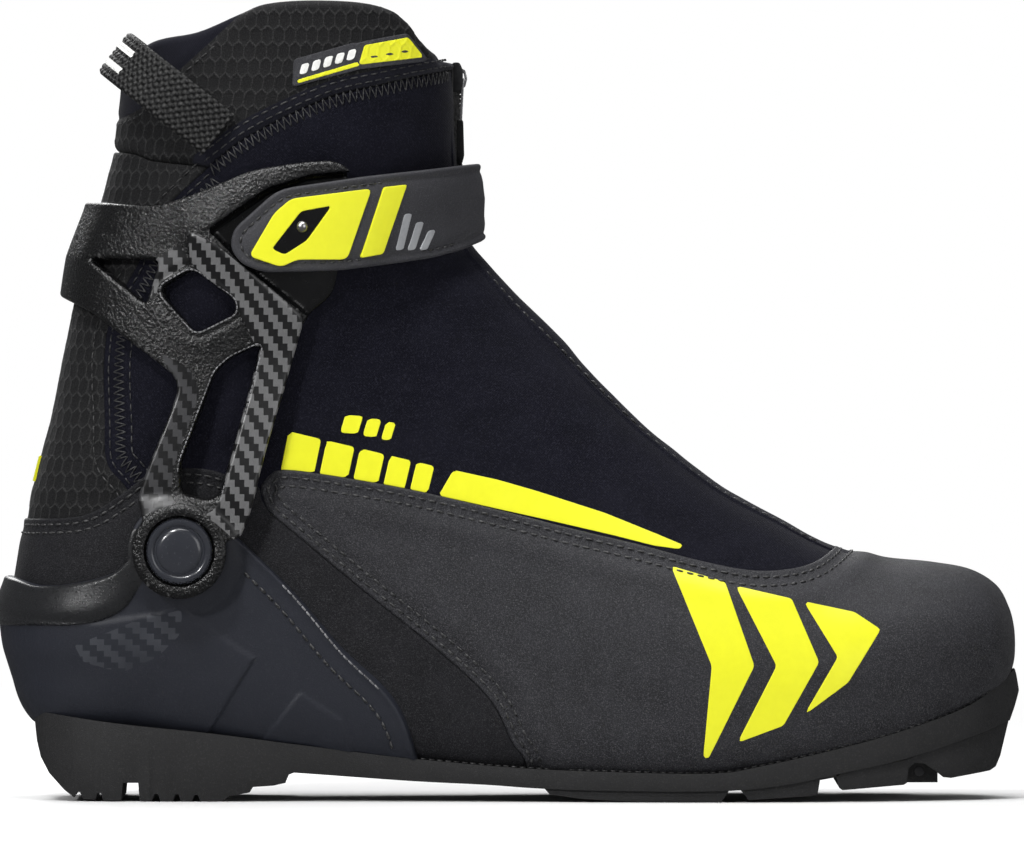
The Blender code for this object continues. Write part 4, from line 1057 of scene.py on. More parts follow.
def make_vamp():
    inside = within(VAMP)
    sheet = Sheet(stations(0.02, 19, 1.25), turns(-172, 172, 1.25, 8)).trim(inside, 0.9)
    roll = edge_roll(inside, 0.9, 0.8)

    def outer(points):
        grow = 1.0 - roll(points) + 0.10 * wrinkle(points)
        grow += channel(by_vamp_top(points) + 3.3, 2.2, 0.4) + channel(by_vamp_back(points) - 3.3, 2.2, 0.45)
        return grow + 0.45 * np.exp(-(((inside(points) + 8.5) / 3.0) ** 2))

    FACES["vamp"] = outer
    vamp = solid("vamp_skin", sheet, outer, -0.6, "synthetic")
    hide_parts("vamp")
    rows = [offset(vamp_top, -2.0), offset(vamp_top, -4.5), offset(vamp_back, 2.0), offset(vamp_back, 4.5)]
    on_boot(vamp, stitch_rows("vamp_stitches", rows, outer))


def make_foxing():
    inside = within(FOXING)
    sheet = Sheet(stations(9, 24, 1.4), turns(8, 352, 1.4, 16)).trim(inside, 0.8)
    roll = edge_roll(inside, 0.8, 0.6)

    def outer(points):
        grow = 0.55 - roll(points) + 0.12 * wrinkle(points)
        return grow + channel(by_foxing_top(points) + 3.1, 2.2, 0.35)

    foxing = solid("foxing_skin", sheet, outer, -0.8, "dark_synthetic")
    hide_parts("heel_foxing")
    rows = [offset(foxing_top, -1.9), offset(foxing_top, -4.3)]
    on_boot(foxing, stitch_rows("foxing_stitches", rows, outer))


ZIP_SLIT_LOW, ZIP_SLIT_HALF_WIDTH = 165, 3.4


def zip_opening(points):
    """The slit for the zip. It goes by height and by y alone, so it also parts the collar at the back."""
    inside_slit = ZIP_SLIT_HALF_WIDTH - np.abs(points[:, 1])
    return np.where(points[:, 2] > ZIP_SLIT_LOW, inside_slit, -9.0)


FLAP_ANGLE = 13.0


def make_softshell():
    under = [
        (-112, 84), (-74, 84), (-45, 86), (0, 76), (60, 60), (110, 64), (120, 110), (40, 190),
        (12, 216)
    ]
    outline = within(np.concatenate([under, collar_seam[::-1], shaft_seam[::-1]]))
    inside = both(outline, zip_opening)
    sheet = Sheet(stations(6, 27, 1.4), turns(-150, 150, 1.4, 16)).trim(inside, 0.6)

    def flap(points):
        return np.abs(points[:, 4]) - FLAP_ANGLE

    sheet.cut(flap, 0.0, 0.6)

    def outer(points):
        x, z = points[:, 0], points[:, 2]
        grow = 0.30 * wrinkle(points) * ramp(z, 85, 110) + 0.05 * fine_wrinkle(points)
        fold = np.sin((z + 0.55 * x) / 4.4 + 1.3 * wrinkle(points))
        grow += 0.20 * fold * np.exp(-(((z - 128) / 22) ** 2)) * ramp(x, -70, -10)
        grow += channel(by_collar_seam(points), 5, 0.5) + channel(by_shaft_seam(points), 5, 0.4)
        return grow + 0.6 * ramp(-flap(points), -0.7, 0.0) * ramp(-z, -200, -185)

    FACES["softshell"] = outer
    shell = solid("softshell_skin", sheet, outer, -1.6, "softshell")
    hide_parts("softshell")
    u = np.linspace(7.2, 14.2, 240)
    parts = []
    for side in (1, -1):
        for angle in (FLAP_ANGLE - 1.6,):
            low, high = last_points(u, side * angle, 0.55), last_points(u, side * angle, 1.55)
            parts.append(every(low, high - low, 0.4))
    stitches = running_stitches("flap_stitches", parts, 0.4, 2.3, 0.9, 0.32, "thread")
    on_shaft(shell, stitches)


def make_achilles():
    outline = np.concatenate([[(-160, 74), (-108, 78)], shaft_seam[1:], collar_back, [(-160, 150)]])
    inside = within(outline)
    creases = lambda points: np.abs(np.mod(points[:, 2] - 76, 17.5) - 8.75) - 8.75
    rows, angles = stations(16.5, 26, 3.2), turns(60, 300, 3.2, 21)
    puff = inflated(
        "achilles_form", rows, angles, lambda p: np.maximum(inside(p) + 3, creases(p) + 1.2), 2.4
    )
    sheet = Sheet(stations(16, 27, 0.8), turns(40, 320, 0.8, 21)).trim(inside, 0.8)
    roll = edge_roll(inside, 0.8, 0.5)

    def outer(points):
        lines = hex_lines(points[:, 4], points[:, 2])
        above = ramp(by_foxing_top(points), 0.5, 9.0)
        grow = -0.1 + puff(points[:, 3], points[:, 4]) * ramp(-points[:, 0], 100, 114) * above
        return grow - roll(points) - 0.5 * (1 - above) + 0.16 * lines + 0.08 * fine_wrinkle(points)

    FACES["achilles"] = outer

    panel = solid("achilles_skin", sheet, outer, -1.6, "hex_mesh", wrap=True)
    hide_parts("achilles_panel")
    on_shell = lambda points: np.maximum(outer(points), FACES["softshell"](points)) + 0.1
    seams = zigzag("shaft_zigzag", [offset(shaft_seam[10:], -4.6)], on_shell)
    rows = [offset(shaft_seam[6:], 3.0), offset(shaft_seam[6:], -8.2), offset(shaft_seam[6:], -1.6)]
    rows = stitch_rows("shaft_stitches", rows, on_shell, radius=0.24)
    on_shaft(panel, seams, rows)


AROUND_PHI = np.linspace(-360, 360, 2881)
AROUND = last_points(20.0, AROUND_PHI, 0.0)
AROUND_RUN = np.concatenate([[0], np.cumsum(np.linalg.norm(np.diff(AROUND, axis=0), axis=1))])


def run_around(phi):
    """Distance round the shaft at an angle."""
    return np.interp(phi, AROUND_PHI, AROUND_RUN)


def wrapped(sheet):
    """Places measured round the shaft and up it, so that a weave follows the surface."""
    s = run_around(sheet.phi)
    return np.stack([s, np.zeros(len(s)), sheet.base()[:, 2]], axis=1)


def hex_lines(phi, z):
    """1 on the raised lines between the cells of the mesh, 0 inside; its material repeats the same cells."""
    x, z = run_around(phi) / HEX_PITCH, z / HEX_PITCH
    tall = math.sqrt(3)
    gaps = []
    for shift in (0.0, 0.5):
        a = np.abs(np.mod(x + shift, 1.0) - 0.5)
        b = np.abs(np.mod(z + shift * tall, tall) - tall / 2)
        gaps.append(np.maximum(a, 0.5 * a + b * tall / 2))
    return 1 - ramp(0.5 - np.minimum(*gaps), 0.05, 0.12)


LAST_FRAME = 20


def inflated(name, rows, angles, held, cap):
    """How far padding between two layers swells, by cloth simulation: a function of station and angle.

    The layers are a grid of the last, sewn together and held where the field held is positive. At these
    settings the swell stays under 0.1 mm, so the padding keeps its layers' form.
    """
    sheet = Sheet(rows, angles)
    base = sheet.base()
    held_at = held(base)
    shape = (len(rows), len(angles))
    outer, inner = last_points(sheet.u, sheet.phi, 0.0), last_points(sheet.u, sheet.phi, -2.0)
    count = len(base)
    edges = np.concatenate(
        [sheet.triangles[:, (0, 1)], sheet.triangles[:, (1, 2)], sheet.triangles[:, (2, 0)]]
    )
    key, reverse = edges[:, 0] * count + edges[:, 1], edges[:, 1] * count + edges[:, 0]
    a, b = edges[~np.isin(key, reverse)].T
    walls = np.concatenate([np.stack([b, a, a + count], 1), np.stack([b, a + count, b + count], 1)])
    faces = np.concatenate([sheet.triangles, sheet.triangles[:, ::-1] + count, walls])
    form = mesh_piece(name, np.concatenate([outer, inner]), faces, None)
    pins = form.vertex_groups.new(name="pins")
    fixed = np.concatenate([np.nonzero(held_at > 0)[0], np.arange(count, 2 * count)])
    pins.add([int(i) for i in fixed], 1.0, "REPLACE")
    cloth = form.modifiers.new("cloth", "CLOTH")
    cloth.settings.vertex_group_mass = "pins"
    cloth.settings.use_pressure = True
    cloth.settings.uniform_pressure_force = 6.0
    cloth.settings.tension_stiffness = 20
    cloth.settings.bending_stiffness = 0.6
    cloth.settings.mass = 0.15
    cloth.settings.effector_weights.gravity = 0
    cloth.settings.quality = 6
    cloth.collision_settings.use_collision = False
    cloth.point_cache.frame_start, cloth.point_cache.frame_end = 1, LAST_FRAME
    for number in range(1, LAST_FRAME + 1):
        bpy.context.scene.frame_set(number)
    evaluated = form.evaluated_get(bpy.context.evaluated_depsgraph_get())
    moved = np.empty(len(form.data.vertices) * 3, np.float32)
    evaluated.data.vertices.foreach_get("co", moved)
    moved = moved.reshape(-1, 3)[:count] / MM
    normal = last_points(sheet.u, sheet.phi, 1.0) - outer
    normal /= np.linalg.norm(normal, axis=1, keepdims=True)
    swell = np.clip(((moved - outer) * normal).sum(1), -0.5, cap)
    bpy.data.objects.remove(form)
    bpy.context.scene.frame_set(1)
    grid = swell.reshape(shape)
    number_of_row, number_of_angle = np.arange(shape[0]), np.arange(shape[1])

    def read(u, phi):
        row, column = np.interp(u, rows, number_of_row), np.interp(phi, angles, number_of_angle)
        return on_grid(grid, (0, 0), 1.0, row, column)

    return read


COLLAR_FRONT = [(-30.5, 240), (-28.8, 229), (-24.6, 221), (-19.5, 215.5), (-10, 208)]
SEAM_BAND = 4.8


def make_collar():
    outline = within(np.concatenate([collar_seam[::-1], collar_back, [(-160, 216)], rim[::-1]]))
    inside = both(outline, zip_opening)
    seam_gap = lambda points: np.minimum(np.abs(by_collar_seam(points)), np.abs(by_collar_back(points)))
    crease = lambda points: np.abs(by_tab_edge(points))
    held = lambda p: np.maximum(np.maximum(inside(p) + 1.5, 1.5 - seam_gap(p)), 1.4 - crease(p))
    puff = inflated("collar_form", stations(20, 26.9, 3.0), turns(-178, 178, 3.0, 23), held, 3.2)
    sheet = Sheet(stations(18, 27, 0.8), turns(-180, 180, 0.8, 22)).trim(inside, 2.4)
    roll = edge_roll(inside, 2.4, 2.2)
    seam_roll = lambda points: 1.5 * np.exp(-seam_gap(points) / 2.6)
    by_front = beside(smooth(COLLAR_FRONT))
    front_edge = lambda points: -by_front(points)
    sheet.cut(by_tab_edge, 0.0)
    plain = [
        lambda p: -by_tab_edge(p),
        lambda p: np.maximum(by_collar_seam(p) - SEAM_BAND, by_tab_edge(p)), front_edge
    ]
    sheet.cut(plain[1], 0.0)
    sheet.cut(front_edge, 0.0)
    smooth_part = lambda points: np.minimum(np.minimum(plain[0](points), plain[1](points)), plain[2](points))

    def outer(points):
        lines = hex_lines(points[:, 4], points[:, 2]) * ramp(smooth_part(points), 0.0, 1.0)
        grow = 1.1 + puff(points[:, 3], points[:, 4]) - roll(points) - seam_roll(points)
        grow -= 0.45 * np.exp(-((crease(points) / 1.1) ** 2)) + 0.5 * np.exp(
            -((front_edge(points) / 1.0) ** 2)
        )
        return grow + 0.16 * lines + 0.06 * fine_wrinkle(points)

    FACES["collar"] = outer
    inner = lambda points: -5.0 + roll(points)
    zones = [(field, "lining") for field in plain]
    collar = solid("collar_padding", sheet, outer, inner, "hex_mesh", wrap=True, sharp=80, zones=zones)
    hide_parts("collar", "heel_tab")
    over = lambda points: np.maximum(outer(points), FACES["softshell"](points)) + 0.1
    seams = zigzag("collar_zigzag", [offset(collar_seam, -1.2)], over)
    rows = [
        offset(collar_seam, 1.9), offset(collar_seam, 3.9), offset(collar_back, 2.4),
        offset(tab_edge[8:-6], -1.8)
    ]
    rows = stitch_rows("collar_stitches", rows, outer, radius=0.24)
    on_shaft(collar, seams, rows)


LINER_NODES = ["liner_toe", "liner_sole", "liner_heel", "liner_back"]
LINER_NODES += [
    f"liner_{part}_{side}" for part in ("forefoot", "quarter", "shaft") for side in ("lateral", "medial")
]


def make_lining():
    rim_field = within(np.concatenate([rim, [(-160, -10), (170, -10), (170, 200), (20, 217.5)]]))
    throat = lambda points: np.where(points[:, 3] > 8, 30 - np.abs(points[:, 4]), -9.0)
    sheet = Sheet(stations(0.3, 27, 2.2), turns(-180, 180, 2.2, 16)).trim(both(rim_field, throat), 0)
    quilt = lambda points: 0.5 * np.abs(np.sin(points[:, 2] / 7.0)) * ramp(points[:, 2], 60, 90)
    liner = solid("liner_padding", sheet, -3.4, lambda p: -5.6 - quilt(p), "lining", wrap=True)
    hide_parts(*LINER_NODES)
    on_throat = lambda points: np.abs(points[:, 4]) - 29.0
    sheet = Sheet(stations(8.1, 27, 1.6), turns(-40, 40, 1.6, 20)).trim(both(rim_field, on_throat), 1.2)
    roll = edge_roll(both(rim_field, on_throat), 1.2, 0.9)
    rib = lambda p: 0.6 * np.abs(np.sin(p[:, 2] / 6.0)) * ramp(-np.abs(p[:, 4]), -26, -20)
    tongue = solid(
        "tongue_padding", sheet, lambda p: -3.0 - roll(p) - 0.3 * rib(p), lambda p: -6.0 - rib(p),
        "lining", wrap=True
    )
    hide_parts("tongue")
    on_shaft(liner, tongue)


# --- hard pieces over the upper ---------------------------------------------------------------------------
def round_boss(radius, inside_face, outside_face, blend_width=5.0):
    """Moves the points near the pivot out to a flat round boss."""

    def bend(points, base, side):
        r = np.hypot(base[:, 0] - PIVOT[0], base[:, 2] - PIVOT[1])
        weight = ramp(-r, -(radius + blend_width), -radius)
        target = np.sign(points[:, 1]) * (outside_face, inside_face)[side]
        moved = points.copy()
        moved[:, 1] = points[:, 1] + weight * (target - points[:, 1])
        for axis in (0, 2):
            moved[:, axis] += weight * (base[:, axis] - points[:, axis])
        return moved

    return bend


def arc(centre, radius, first, last, step=8):
    """Points of a round stretch of an outline, by its angles in degrees."""
    turn = np.radians(np.arange(first, last + np.sign(last - first), np.sign(last - first) * step))
    return np.stack([centre[0] + radius * np.cos(turn), centre[1] + radius * np.sin(turn)], axis=1)


def make_heel_shell():
    top, front, feather = smooth(SHELL_TOP), smooth(SHELL_FRONT), smooth(FEATHER)
    low = feather[feather[:, 0] < -28]
    by_low = beside(feather)
    outline = np.concatenate(
        [top, arc(PIVOT, EAR_RADIUS, 190, 20), front[2:], low[::-1] + (0, 0.2), [(-160, 26.9)]]
    )
    inside = within(outline)
    sheet = Sheet(stations(9, 22, 0.9), turns(60, 300, 0.9, 16)).trim(inside, 0.9)
    band_low = smooth(
        [(-170, 50), (-147, 51.5), (-134.5, 52.5), (-124, 53.3), (-117.5, 55), (-111.9, 58.7), (-107.5, 66)]
    )
    band = within(np.concatenate([band_low, [(-106, 80), (-170, 80)]]))
    carbon = within(
        [
            (-126, 47.5), (-115, 52.5), (-107, 56.5), (-97, 57.5), (-98, 51), (-104, 45),
            (-114, 40.5), (-124, 43)
        ]
    )
    facets = [
        within([(-97.4, 58.5), (-75.7, 44), (-89.7, 20.8), (-95, 0), (-170, 0), (-170, 53), (-120, 54)]),
        within([(-62.2, 34.3), (-50.1, 26.6), (-45, 13), (-45, 0), (-78, 0), (-73.3, 19.9)]),
    ]
    roll = edge_roll(inside, 0.9)
    for field in (band, *facets, carbon):
        sheet.cut(field, 0.0)
    by_front = beside(front)

    def outer(points):
        x, z = points[:, 0], points[:, 2]
        grow = 2.7 - roll(points) - 0.8 * np.exp(-np.maximum(by_low(points), 0) / 3.0)
        back = ramp(-x, 108, 138)
        grow += back * (3.6 * ramp(-z, -44, -22) + 0.8 * ramp(z, 36, 46) - 1.9 * ramp(z, 56, 66))
        depth = np.clip(-band(points) / 4.6, 0, 1)
        grow += 1.7 * np.sqrt(1 - (1 - depth) ** 2)
        grow += 0.6 * ramp(-facets[0](points), -0.4, 0.6) - 0.6 * ramp(-facets[0](points), 2, 36)
        grow += 0.4 * ramp(-facets[1](points), -0.4, 0.6) - 0.4 * ramp(-facets[1](points), 2, 16)
        return grow + 0.5 * np.exp(-(((by_front(points)) / 1.3) ** 2))

    zones = [(band, "shell_gloss"), (carbon, "shell_carbon")]
    bend = round_boss(EAR_RADIUS - 1, EAR_FACE - 2.6, EAR_FACE, 4)
    shell = solid("heel_shell_skin", sheet, outer, 0.5, "shell_plastic", bend=bend, zones=zones, sharp=35)
    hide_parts("heel_shell")
    front_row = np.array([p for p in offset(front, -5.6) if 16 < p[1] < 69])
    top_row = np.array([p for p in offset(top, -2.4) if p[0] < -122])
    stitches = stitch_rows("shell_stitches", [front_row], 2.8, radius=0.42)
    top_stitches = stitch_rows("shell_top_stitches", [top_row], 2.1, radius=0.42)
    # A light grey bead along the upper front edge: a painted highlight of that edge.
    highlight_bead = np.array([p for p in offset(front, -0.5) if 34 < p[1] < 66])
    highlight_bead = stitch_rows("shell_painted_highlight_bead", [highlight_bead], lambda p: outer(p) - 0.1, "painted_highlight_bead", 2.2, 0.0, 0.3)
    welt = stitch_rows("welt_stitches", [offset(low, 1.3)], 3.0, radius=0.3, length=1.8, gap=0.7)
    on_boot(shell, stitches, top_stitches, welt, highlight_bead)


def cuff_inside(points):
    return CUFF_CLEARANCE + (ARM_CLEARANCE - CUFF_CLEARANCE) * ramp(-points[:, 2], -132, -92)


FRONT_ARM = [
    (-93, 166.5), (-86, 163), (-62.8, 142.3), (-62, 137), (-70, 108), (-80.5, 78), (-90, 84),
    (-85.3, 91)
]
FRONT_ARM += [(-74.5, 131), (-80, 143), (-84, 149), (-93, 157.5)]
REAR_ARM = [(-95.5, 163), (-93.0, 158.0), (-101.5, 151.5), (-103.2, 146.0), (-108.5, 152.5), (-102.5, 158.5)]
REAR_ARM_LOW = [(-101.5, 131), (-93.2, 126), (-90.6, 119), (-97.0, 99), (-98.0, 88), (-108, 84), (-105, 95)]
REAR_ARM_LOW += [(-98.5, 112), (-97.2, 120)]
WING = [(-88, 167), (-72, 179.5), (-61, 183.5), (-40, 186), (-45, 140), (-61, 141.5), (-78, 156)]


def make_cuff():
    body, disc = within(rounded(CUFF_OUTLINE, 3.5)), circle(PIVOT, BOSS_RADIUS)
    holes = [within(rounded(hole, 2.0)) for hole in (ARM_SLOT, CUFF_WINDOW, REAR_WINDOW)]
    whole = lambda points: np.minimum(body(points), disc(points))
    inside = both(whole, *(outside(hole) for hole in holes))
    sheet = Sheet(stations(13, 26.5, 0.9), turns(45, 315, 0.9, 21)).trim(inside, 1.1)
    front_arm, wing = within(rounded(FRONT_ARM, 1.5)), within(WING)
    rear_arm, rear_low = within(rounded(REAR_ARM, 1.0)), within(rounded(REAR_ARM_LOW, 1.5))
    for field in (front_arm, rear_arm, rear_low, wing):
        sheet.cut(field, 0.0)
    sheet.cut(circle(PIVOT, 0.0), 9.9, 10.5, 12.6, 13.3)
    roll = edge_roll(inside, 1.1)

    def outer(points):
        grow = cuff_inside(points) + CUFF_THICKNESS - roll(points)
        ridge = np.abs(points[:, 2] - 158.5)
        grow += 1.2 * np.clip(1 - ridge / 14, 0, 1) * ramp(-points[:, 0], 104, 124)
        grow -= 1.6 * ramp(-wing(points), -0.3, 1.6)
        grow += 1.9 * ramp(-wing(points), -11, -0.3) * ramp(points[:, 2], 150, 166) * (wing(points) > -0.3)
        grow += 0.6 * ramp(-front_arm(points), -0.6, 0.9) * ramp(points[:, 2], 84, 94)
        return grow - 0.45 * channel(np.abs(holes[1](points)) - 1.6, 1.0, -1.0)

    plain_bend = round_boss(BOSS_RADIUS - 1, BOSS_INSIDE, BOSS_OUTSIDE, 6)

    def bend(points, base, side):
        moved = plain_bend(points, base, side)
        if side == 0:
            r = np.hypot(base[:, 0] - PIVOT[0], base[:, 2] - PIVOT[1])
            ring = np.clip(np.abs(r - 11.8) / 1.9, 0, 1)
            height = 1.6 * ramp(-r, -10.5, -9.9) - 0.7 * np.sqrt(1 - ring**2) * (r < 13.7)
            moved[:, 1] -= np.sign(moved[:, 1]) * height
        return moved

    zones = [
        (front_arm, "cuff_carbon"), (rear_arm, "cuff_carbon"), (rear_low, "carbon_dark"),
        (wing, "cuff_smooth")
    ]
    cuff = solid("cuff_body", sheet, outer, cuff_inside, "cuff_plastic", bend=bend, zones=zones, sharp=35)
    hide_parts("cuff_shell")
    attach(cuff, "cuff")
    # Light grey beads just outside the arm slot and the window: painted highlights along these edges.
    edges = []
    for outline in (ARM_SLOT, CUFF_WINDOW):
        ring = np.asarray(rounded(outline, 2.0))
        ring = inset_line(np.concatenate([ring, ring[:1]]), -0.5)
        edges.append(ring[np.hypot(*(ring - PIVOT).T) > 22])
    edges = stitch_rows("cuff_painted_highlight_beads", edges, lambda p: outer(p) - 0.15, "painted_highlight_bead", 1.4, 0.0, 0.24)
    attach(edges, "cuff")


def turned(name, centre, profile, look, side=-1, steps=56):
    """A round piece about an axis across the boot; profile is (radius, distance from the middle plane)."""
    points, faces = [], []
    for radius, out in profile:
        for k in range(steps):
            a = 2 * math.pi * k / steps
            points.append((centre[0] + radius * math.cos(a), side * out, centre[1] + radius * math.sin(a)))
    for i in range(len(profile) - 1):
        for k in range(steps):
            a, b = i * steps + k, i * steps + (k + 1) % steps
            faces += [(a, b, b + steps), (a, b + steps, a + steps)]
    last = (len(profile) - 1) * steps
    faces += [(0, k + 1, k) for k in range(1, steps - 1)]
    faces += [(last, last + k, last + k + 1) for k in range(1, steps - 1)]
    faces = np.array(faces)
    return mesh_piece(name, points, faces if side < 0 else faces[:, ::-1], look, sharp=35)


CAP_PROFILE = [
    (0.3, 48.5), (3.0, 48.45), (5.4, 48.25), (6.3, 48.0), (6.8, 47.5), (7.3, 47.45), (7.7, 47.9),
    (8.4, 48.15)
]
CAP_PROFILE += [(9.1, 48.0), (9.55, 47.5), (9.7, 46.8), (9.7, 46.1), (0.3, 46.1)]
RIVET_PROFILE = [(0.1, 46.4), (0.8, 46.3), (1.4, 45.9), (1.75, 45.3), (1.8, 44.7), (0.1, 44.6)]


def make_caps():
    for side, name in ((-1, "pivot_cap_lateral"), (1, "pivot_cap_medial")):
        cap = turned(name + "_disc", PIVOT, CAP_PROFILE, "cap_plastic", side)
        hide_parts(name)
        on_boot(cap)
    rivet = turned("strap_rivet_head", (-61.5, 168.6), RIVET_PROFILE, "steel")
    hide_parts("strap_rivet")
    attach(rivet, "cuff")


# --- the strap --------------------------------------------------------------------------------------------
def strap_inside(points):
    low = np.clip((176 - points[:, 2]) / 14, 0, 1)
    forward = np.clip((points[:, 0] + 45) / 30, 0, 1)
    return STRAP_STANDOFF - 2.6 * low * forward


LATERAL_FOLD = ("cuff", "strap_front", (-0.031, -0.037, 0.175), (-0.017, -0.023, 0.175))
MEDIAL_FOLD = ("strap_front", "strap_tip", (-0.017, 0.023, 0.175), (-0.031, 0.037, 0.175))


def make_strap():
    outline = rounded(STRAP_OUTLINE, 4.0)
    inside = within(outline)
    sewn = inset_line(outline, 2.4)
    sewn = sewn[sewn[:, 0] < -12]
    roll = edge_roll(inside, 0.9)

    def outer(points):
        gap = inside(points)
        grow = strap_inside(points) + STRAP_THICKNESS - roll(points) + channel(gap + 2.4, 0.8, 0.35)
        return grow + 0.3 * ramp(-gap, 3.0, 6.0)

    for side, name, fold, nodes in (
        (1, "strap_lateral", LATERAL_FOLD, ("strap_end_lateral", "strap_front")),
        (-1, "strap_medial", MEDIAL_FOLD, ("strap_tip",)),
    ):
        angles = turns(0.0, 130, 0.9, 19)
        angles = angles if side > 0 else -angles[::-1]
        sheet = Sheet(stations(12.5, 26.5, 1.0), angles).trim(inside, 0.9)
        strap = solid(name, sheet, outer, strap_inside, "strap", sharp=50)
        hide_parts(*nodes)
        seam = sewn if side > 0 else sewn[sewn[:, 0] < -32]
        u, phi = on_last(seam, side)
        flat = last_points(u, phi, 0.0)
        height = strap_inside(flat) + STRAP_THICKNESS - 0.25
        low, high = last_points(u, phi, height), last_points(u, phi, height + 1.0)
        stitches = running_stitches(
            name + "_stitches", [every(low, high - low, 0.35)], 0.35, 2.0, 0.8, 0.32, "thread"
        )
        for piece in (strap, stitches):
            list(fold)
            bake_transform(piece)


def inset_line(outline, distance):
    """A closed outline moved inwards."""
    ring = np.asarray(outline, float)
    area = np.sum(ring[:, 0] * np.roll(ring[:, 1], -1) - np.roll(ring[:, 0], -1) * ring[:, 1])
    tangent = np.roll(ring, -1, axis=0) - np.roll(ring, 1, axis=0)
    tangent /= np.linalg.norm(tangent, axis=1)[:, None]
    left = np.stack([-tangent[:, 1], tangent[:, 0]], axis=1)
    return ring + (distance if area > 0 else -distance) * left


def strap_face(points):
    return strap_inside(points) + STRAP_THICKNESS + 0.3


def seen_on(field, face):
    """A side-view field read where a grown surface lies and not where the last does."""
    return lambda points: field(last_points(points[:, 3], points[:, 4], face(points)))


def raised_print(name, field, face, height, look, rows, angles, edge=0.3, step=0.8, sink=0.4):
    """A thin raised shape on a grown surface."""
    row = 19 if rows[0] > 12 else 7
    shape = seen_on(field, face)
    sheet = Sheet(stations(*rows, step), turns(*angles, step, row)).trim(shape, edge)
    roll = edge_roll(shape, edge, min(0.3, height))
    return solid(name, sheet, lambda p: face(p) + height - roll(p), lambda p: face(p) - sink, look)


STRAP_ROWS, STRAP_ANGLES = (12.5, 26.5), (20, 130)


def make_badges():
    window = within(rounded(BADGE_WINDOW, 0.8))
    rear = both(within(rounded(BADGE_REAR, 1.6)), outside(window))
    front = within(rounded(BADGE_FRONT, 0.5))
    for name, field, node in (
        ("badge_rear", rear, "strap_badge_rear"), ("badge_front", front, "strap_badge_front")
    ):
        badge = raised_print(name, field, strap_face, 0.5, "yellow", STRAP_ROWS, STRAP_ANGLES)
        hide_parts(node)
        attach(badge, "cuff")
    floor = raised_print(
        "badge_window_floor", window, strap_face, 0.05, "cuff_smooth", STRAP_ROWS, STRAP_ANGLES
    )
    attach(floor, "cuff")
    for k in range(3):
        x = -34.2 + 3.5 * k
        bar = within(
            rounded(
                [(x, 161.6), (x + 2.3, 161.9), (x + 4.9, 172.6 - 2.4 * k), (x + 2.6, 172.3 - 2.4 * k)],
                0.3
            )
        )
        mark = raised_print(
            f"strap_mark_{k}", bar, strap_face, 0.12, "silver_print", STRAP_ROWS, STRAP_ANGLES,
            step=0.6
        )
        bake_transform(mark)


# --- prints on the upper ----------------------------------------------------------------------------------
STRIPE = [
    (-21.6, 89.7), (-17.2, 97.2), (-4, 94.3), (7.4, 91.0), (27.3, 84.6), (42.7, 78.4), (50.3, 75.2),
    (49.2, 74.0)
]
STRIPE += [(41.5, 75.1), (30.2, 78.0), (10.8, 82.5)]
VAMP_BARS = [
    [(46.6, 69.2), (62.5, 64.5), (71.0, 40.0), (57.5, 12.8), (56.0, 13.2), (58.5, 40.0)],
    [(65.5, 63.4), (82.0, 59.6), (90.0, 41.0), (79.5, 22.5), (66.0, 17.5), (77.5, 40.0)],
    [(85.5, 58.8), (100.5, 55.6), (108.2, 50.5), (98.5, 35.0), (85.5, 25.5), (95.5, 42.5)],
]
SIDE_BARS = [(-68.8, 9.6), (-57.6, 8.2), (-47.8, 7.2), (-39.0, 6.2), (-31.2, 5.2)]


def make_prints():
    skin, vamp = FACES["softshell"], FACES["vamp"]
    clear = outside(within(VAMP))
    stripe = both(within(rounded(STRIPE, 0.5)), clear)
    pieces = [raised_print("side_stripe", stripe, skin, 0.14, "yellow", (6, 16), (10, 130))]
    for k, (x, width) in enumerate(SIDE_BARS):
        low, high = 92.4 - 0.165 * (x + 68.8), 109.6 - 0.24 * (x + 68.8)
        bar = [
            (x, low), (x + width, low - 0.165 * width), (x + width + 3.2, high - 0.24 * width - 1),
            (x + 3.2, high - 1)
        ]
        field = both(within(rounded(bar, 0.7)), clear)
        pieces.append(
            raised_print(f"side_bar_{k}", field, skin, 0.14, "yellow", (11, 19), (40, 130), step=0.7)
        )
    x = -50.5
    for k, width in enumerate((5.2, 4.0, 2.8)):
        bar = [(x, 108.2 - k), (x + width, 107.8 - k), (x + width + 1.6, 113.0 - k), (x + 1.6, 113.4 - k)]
        field = within(rounded(bar, 0.6))
        pieces.append(
            raised_print(f"side_tick_{k}", field, skin, 0.14, "yellow", (12, 19), (40, 130), step=0.6)
        )
        x += width + 1.4
    on_shaft(*pieces)
    for k, bar in enumerate(VAMP_BARS):
        field = within(rounded(bar, 0.8))
        on_boot(raised_print(f"vamp_chevron_{k}", field, vamp, 0.14, "yellow", (3, 11), (15, 150)))


LABEL = [
    (-64.5, 209.5), (-64.0, 217.6), (-46.5, 222.6), (-45.0, 222.4), (-43.5, 223.0), (-31.0, 225.4),
    (-25.4, 218.2)
]
LABEL += [(-25.6, 217.2), (-44.5, 214.8)]
LABEL_BOX = [(-45.3, 216.0), (-43.6, 221.8), (-30.9, 224.2), (-26.4, 218.4)]
LABEL_LINE = [(-63.2, 210.4), (-63.0, 211.6), (-45.6, 216.9), (-44.8, 215.8)]
LABEL_ROWS, LABEL_ANGLES = (19.5, 26.9), (25, 110)
MARKER = [(-170, 93.5), (-120, 93.5), (-120, 101), (-170, 101)]


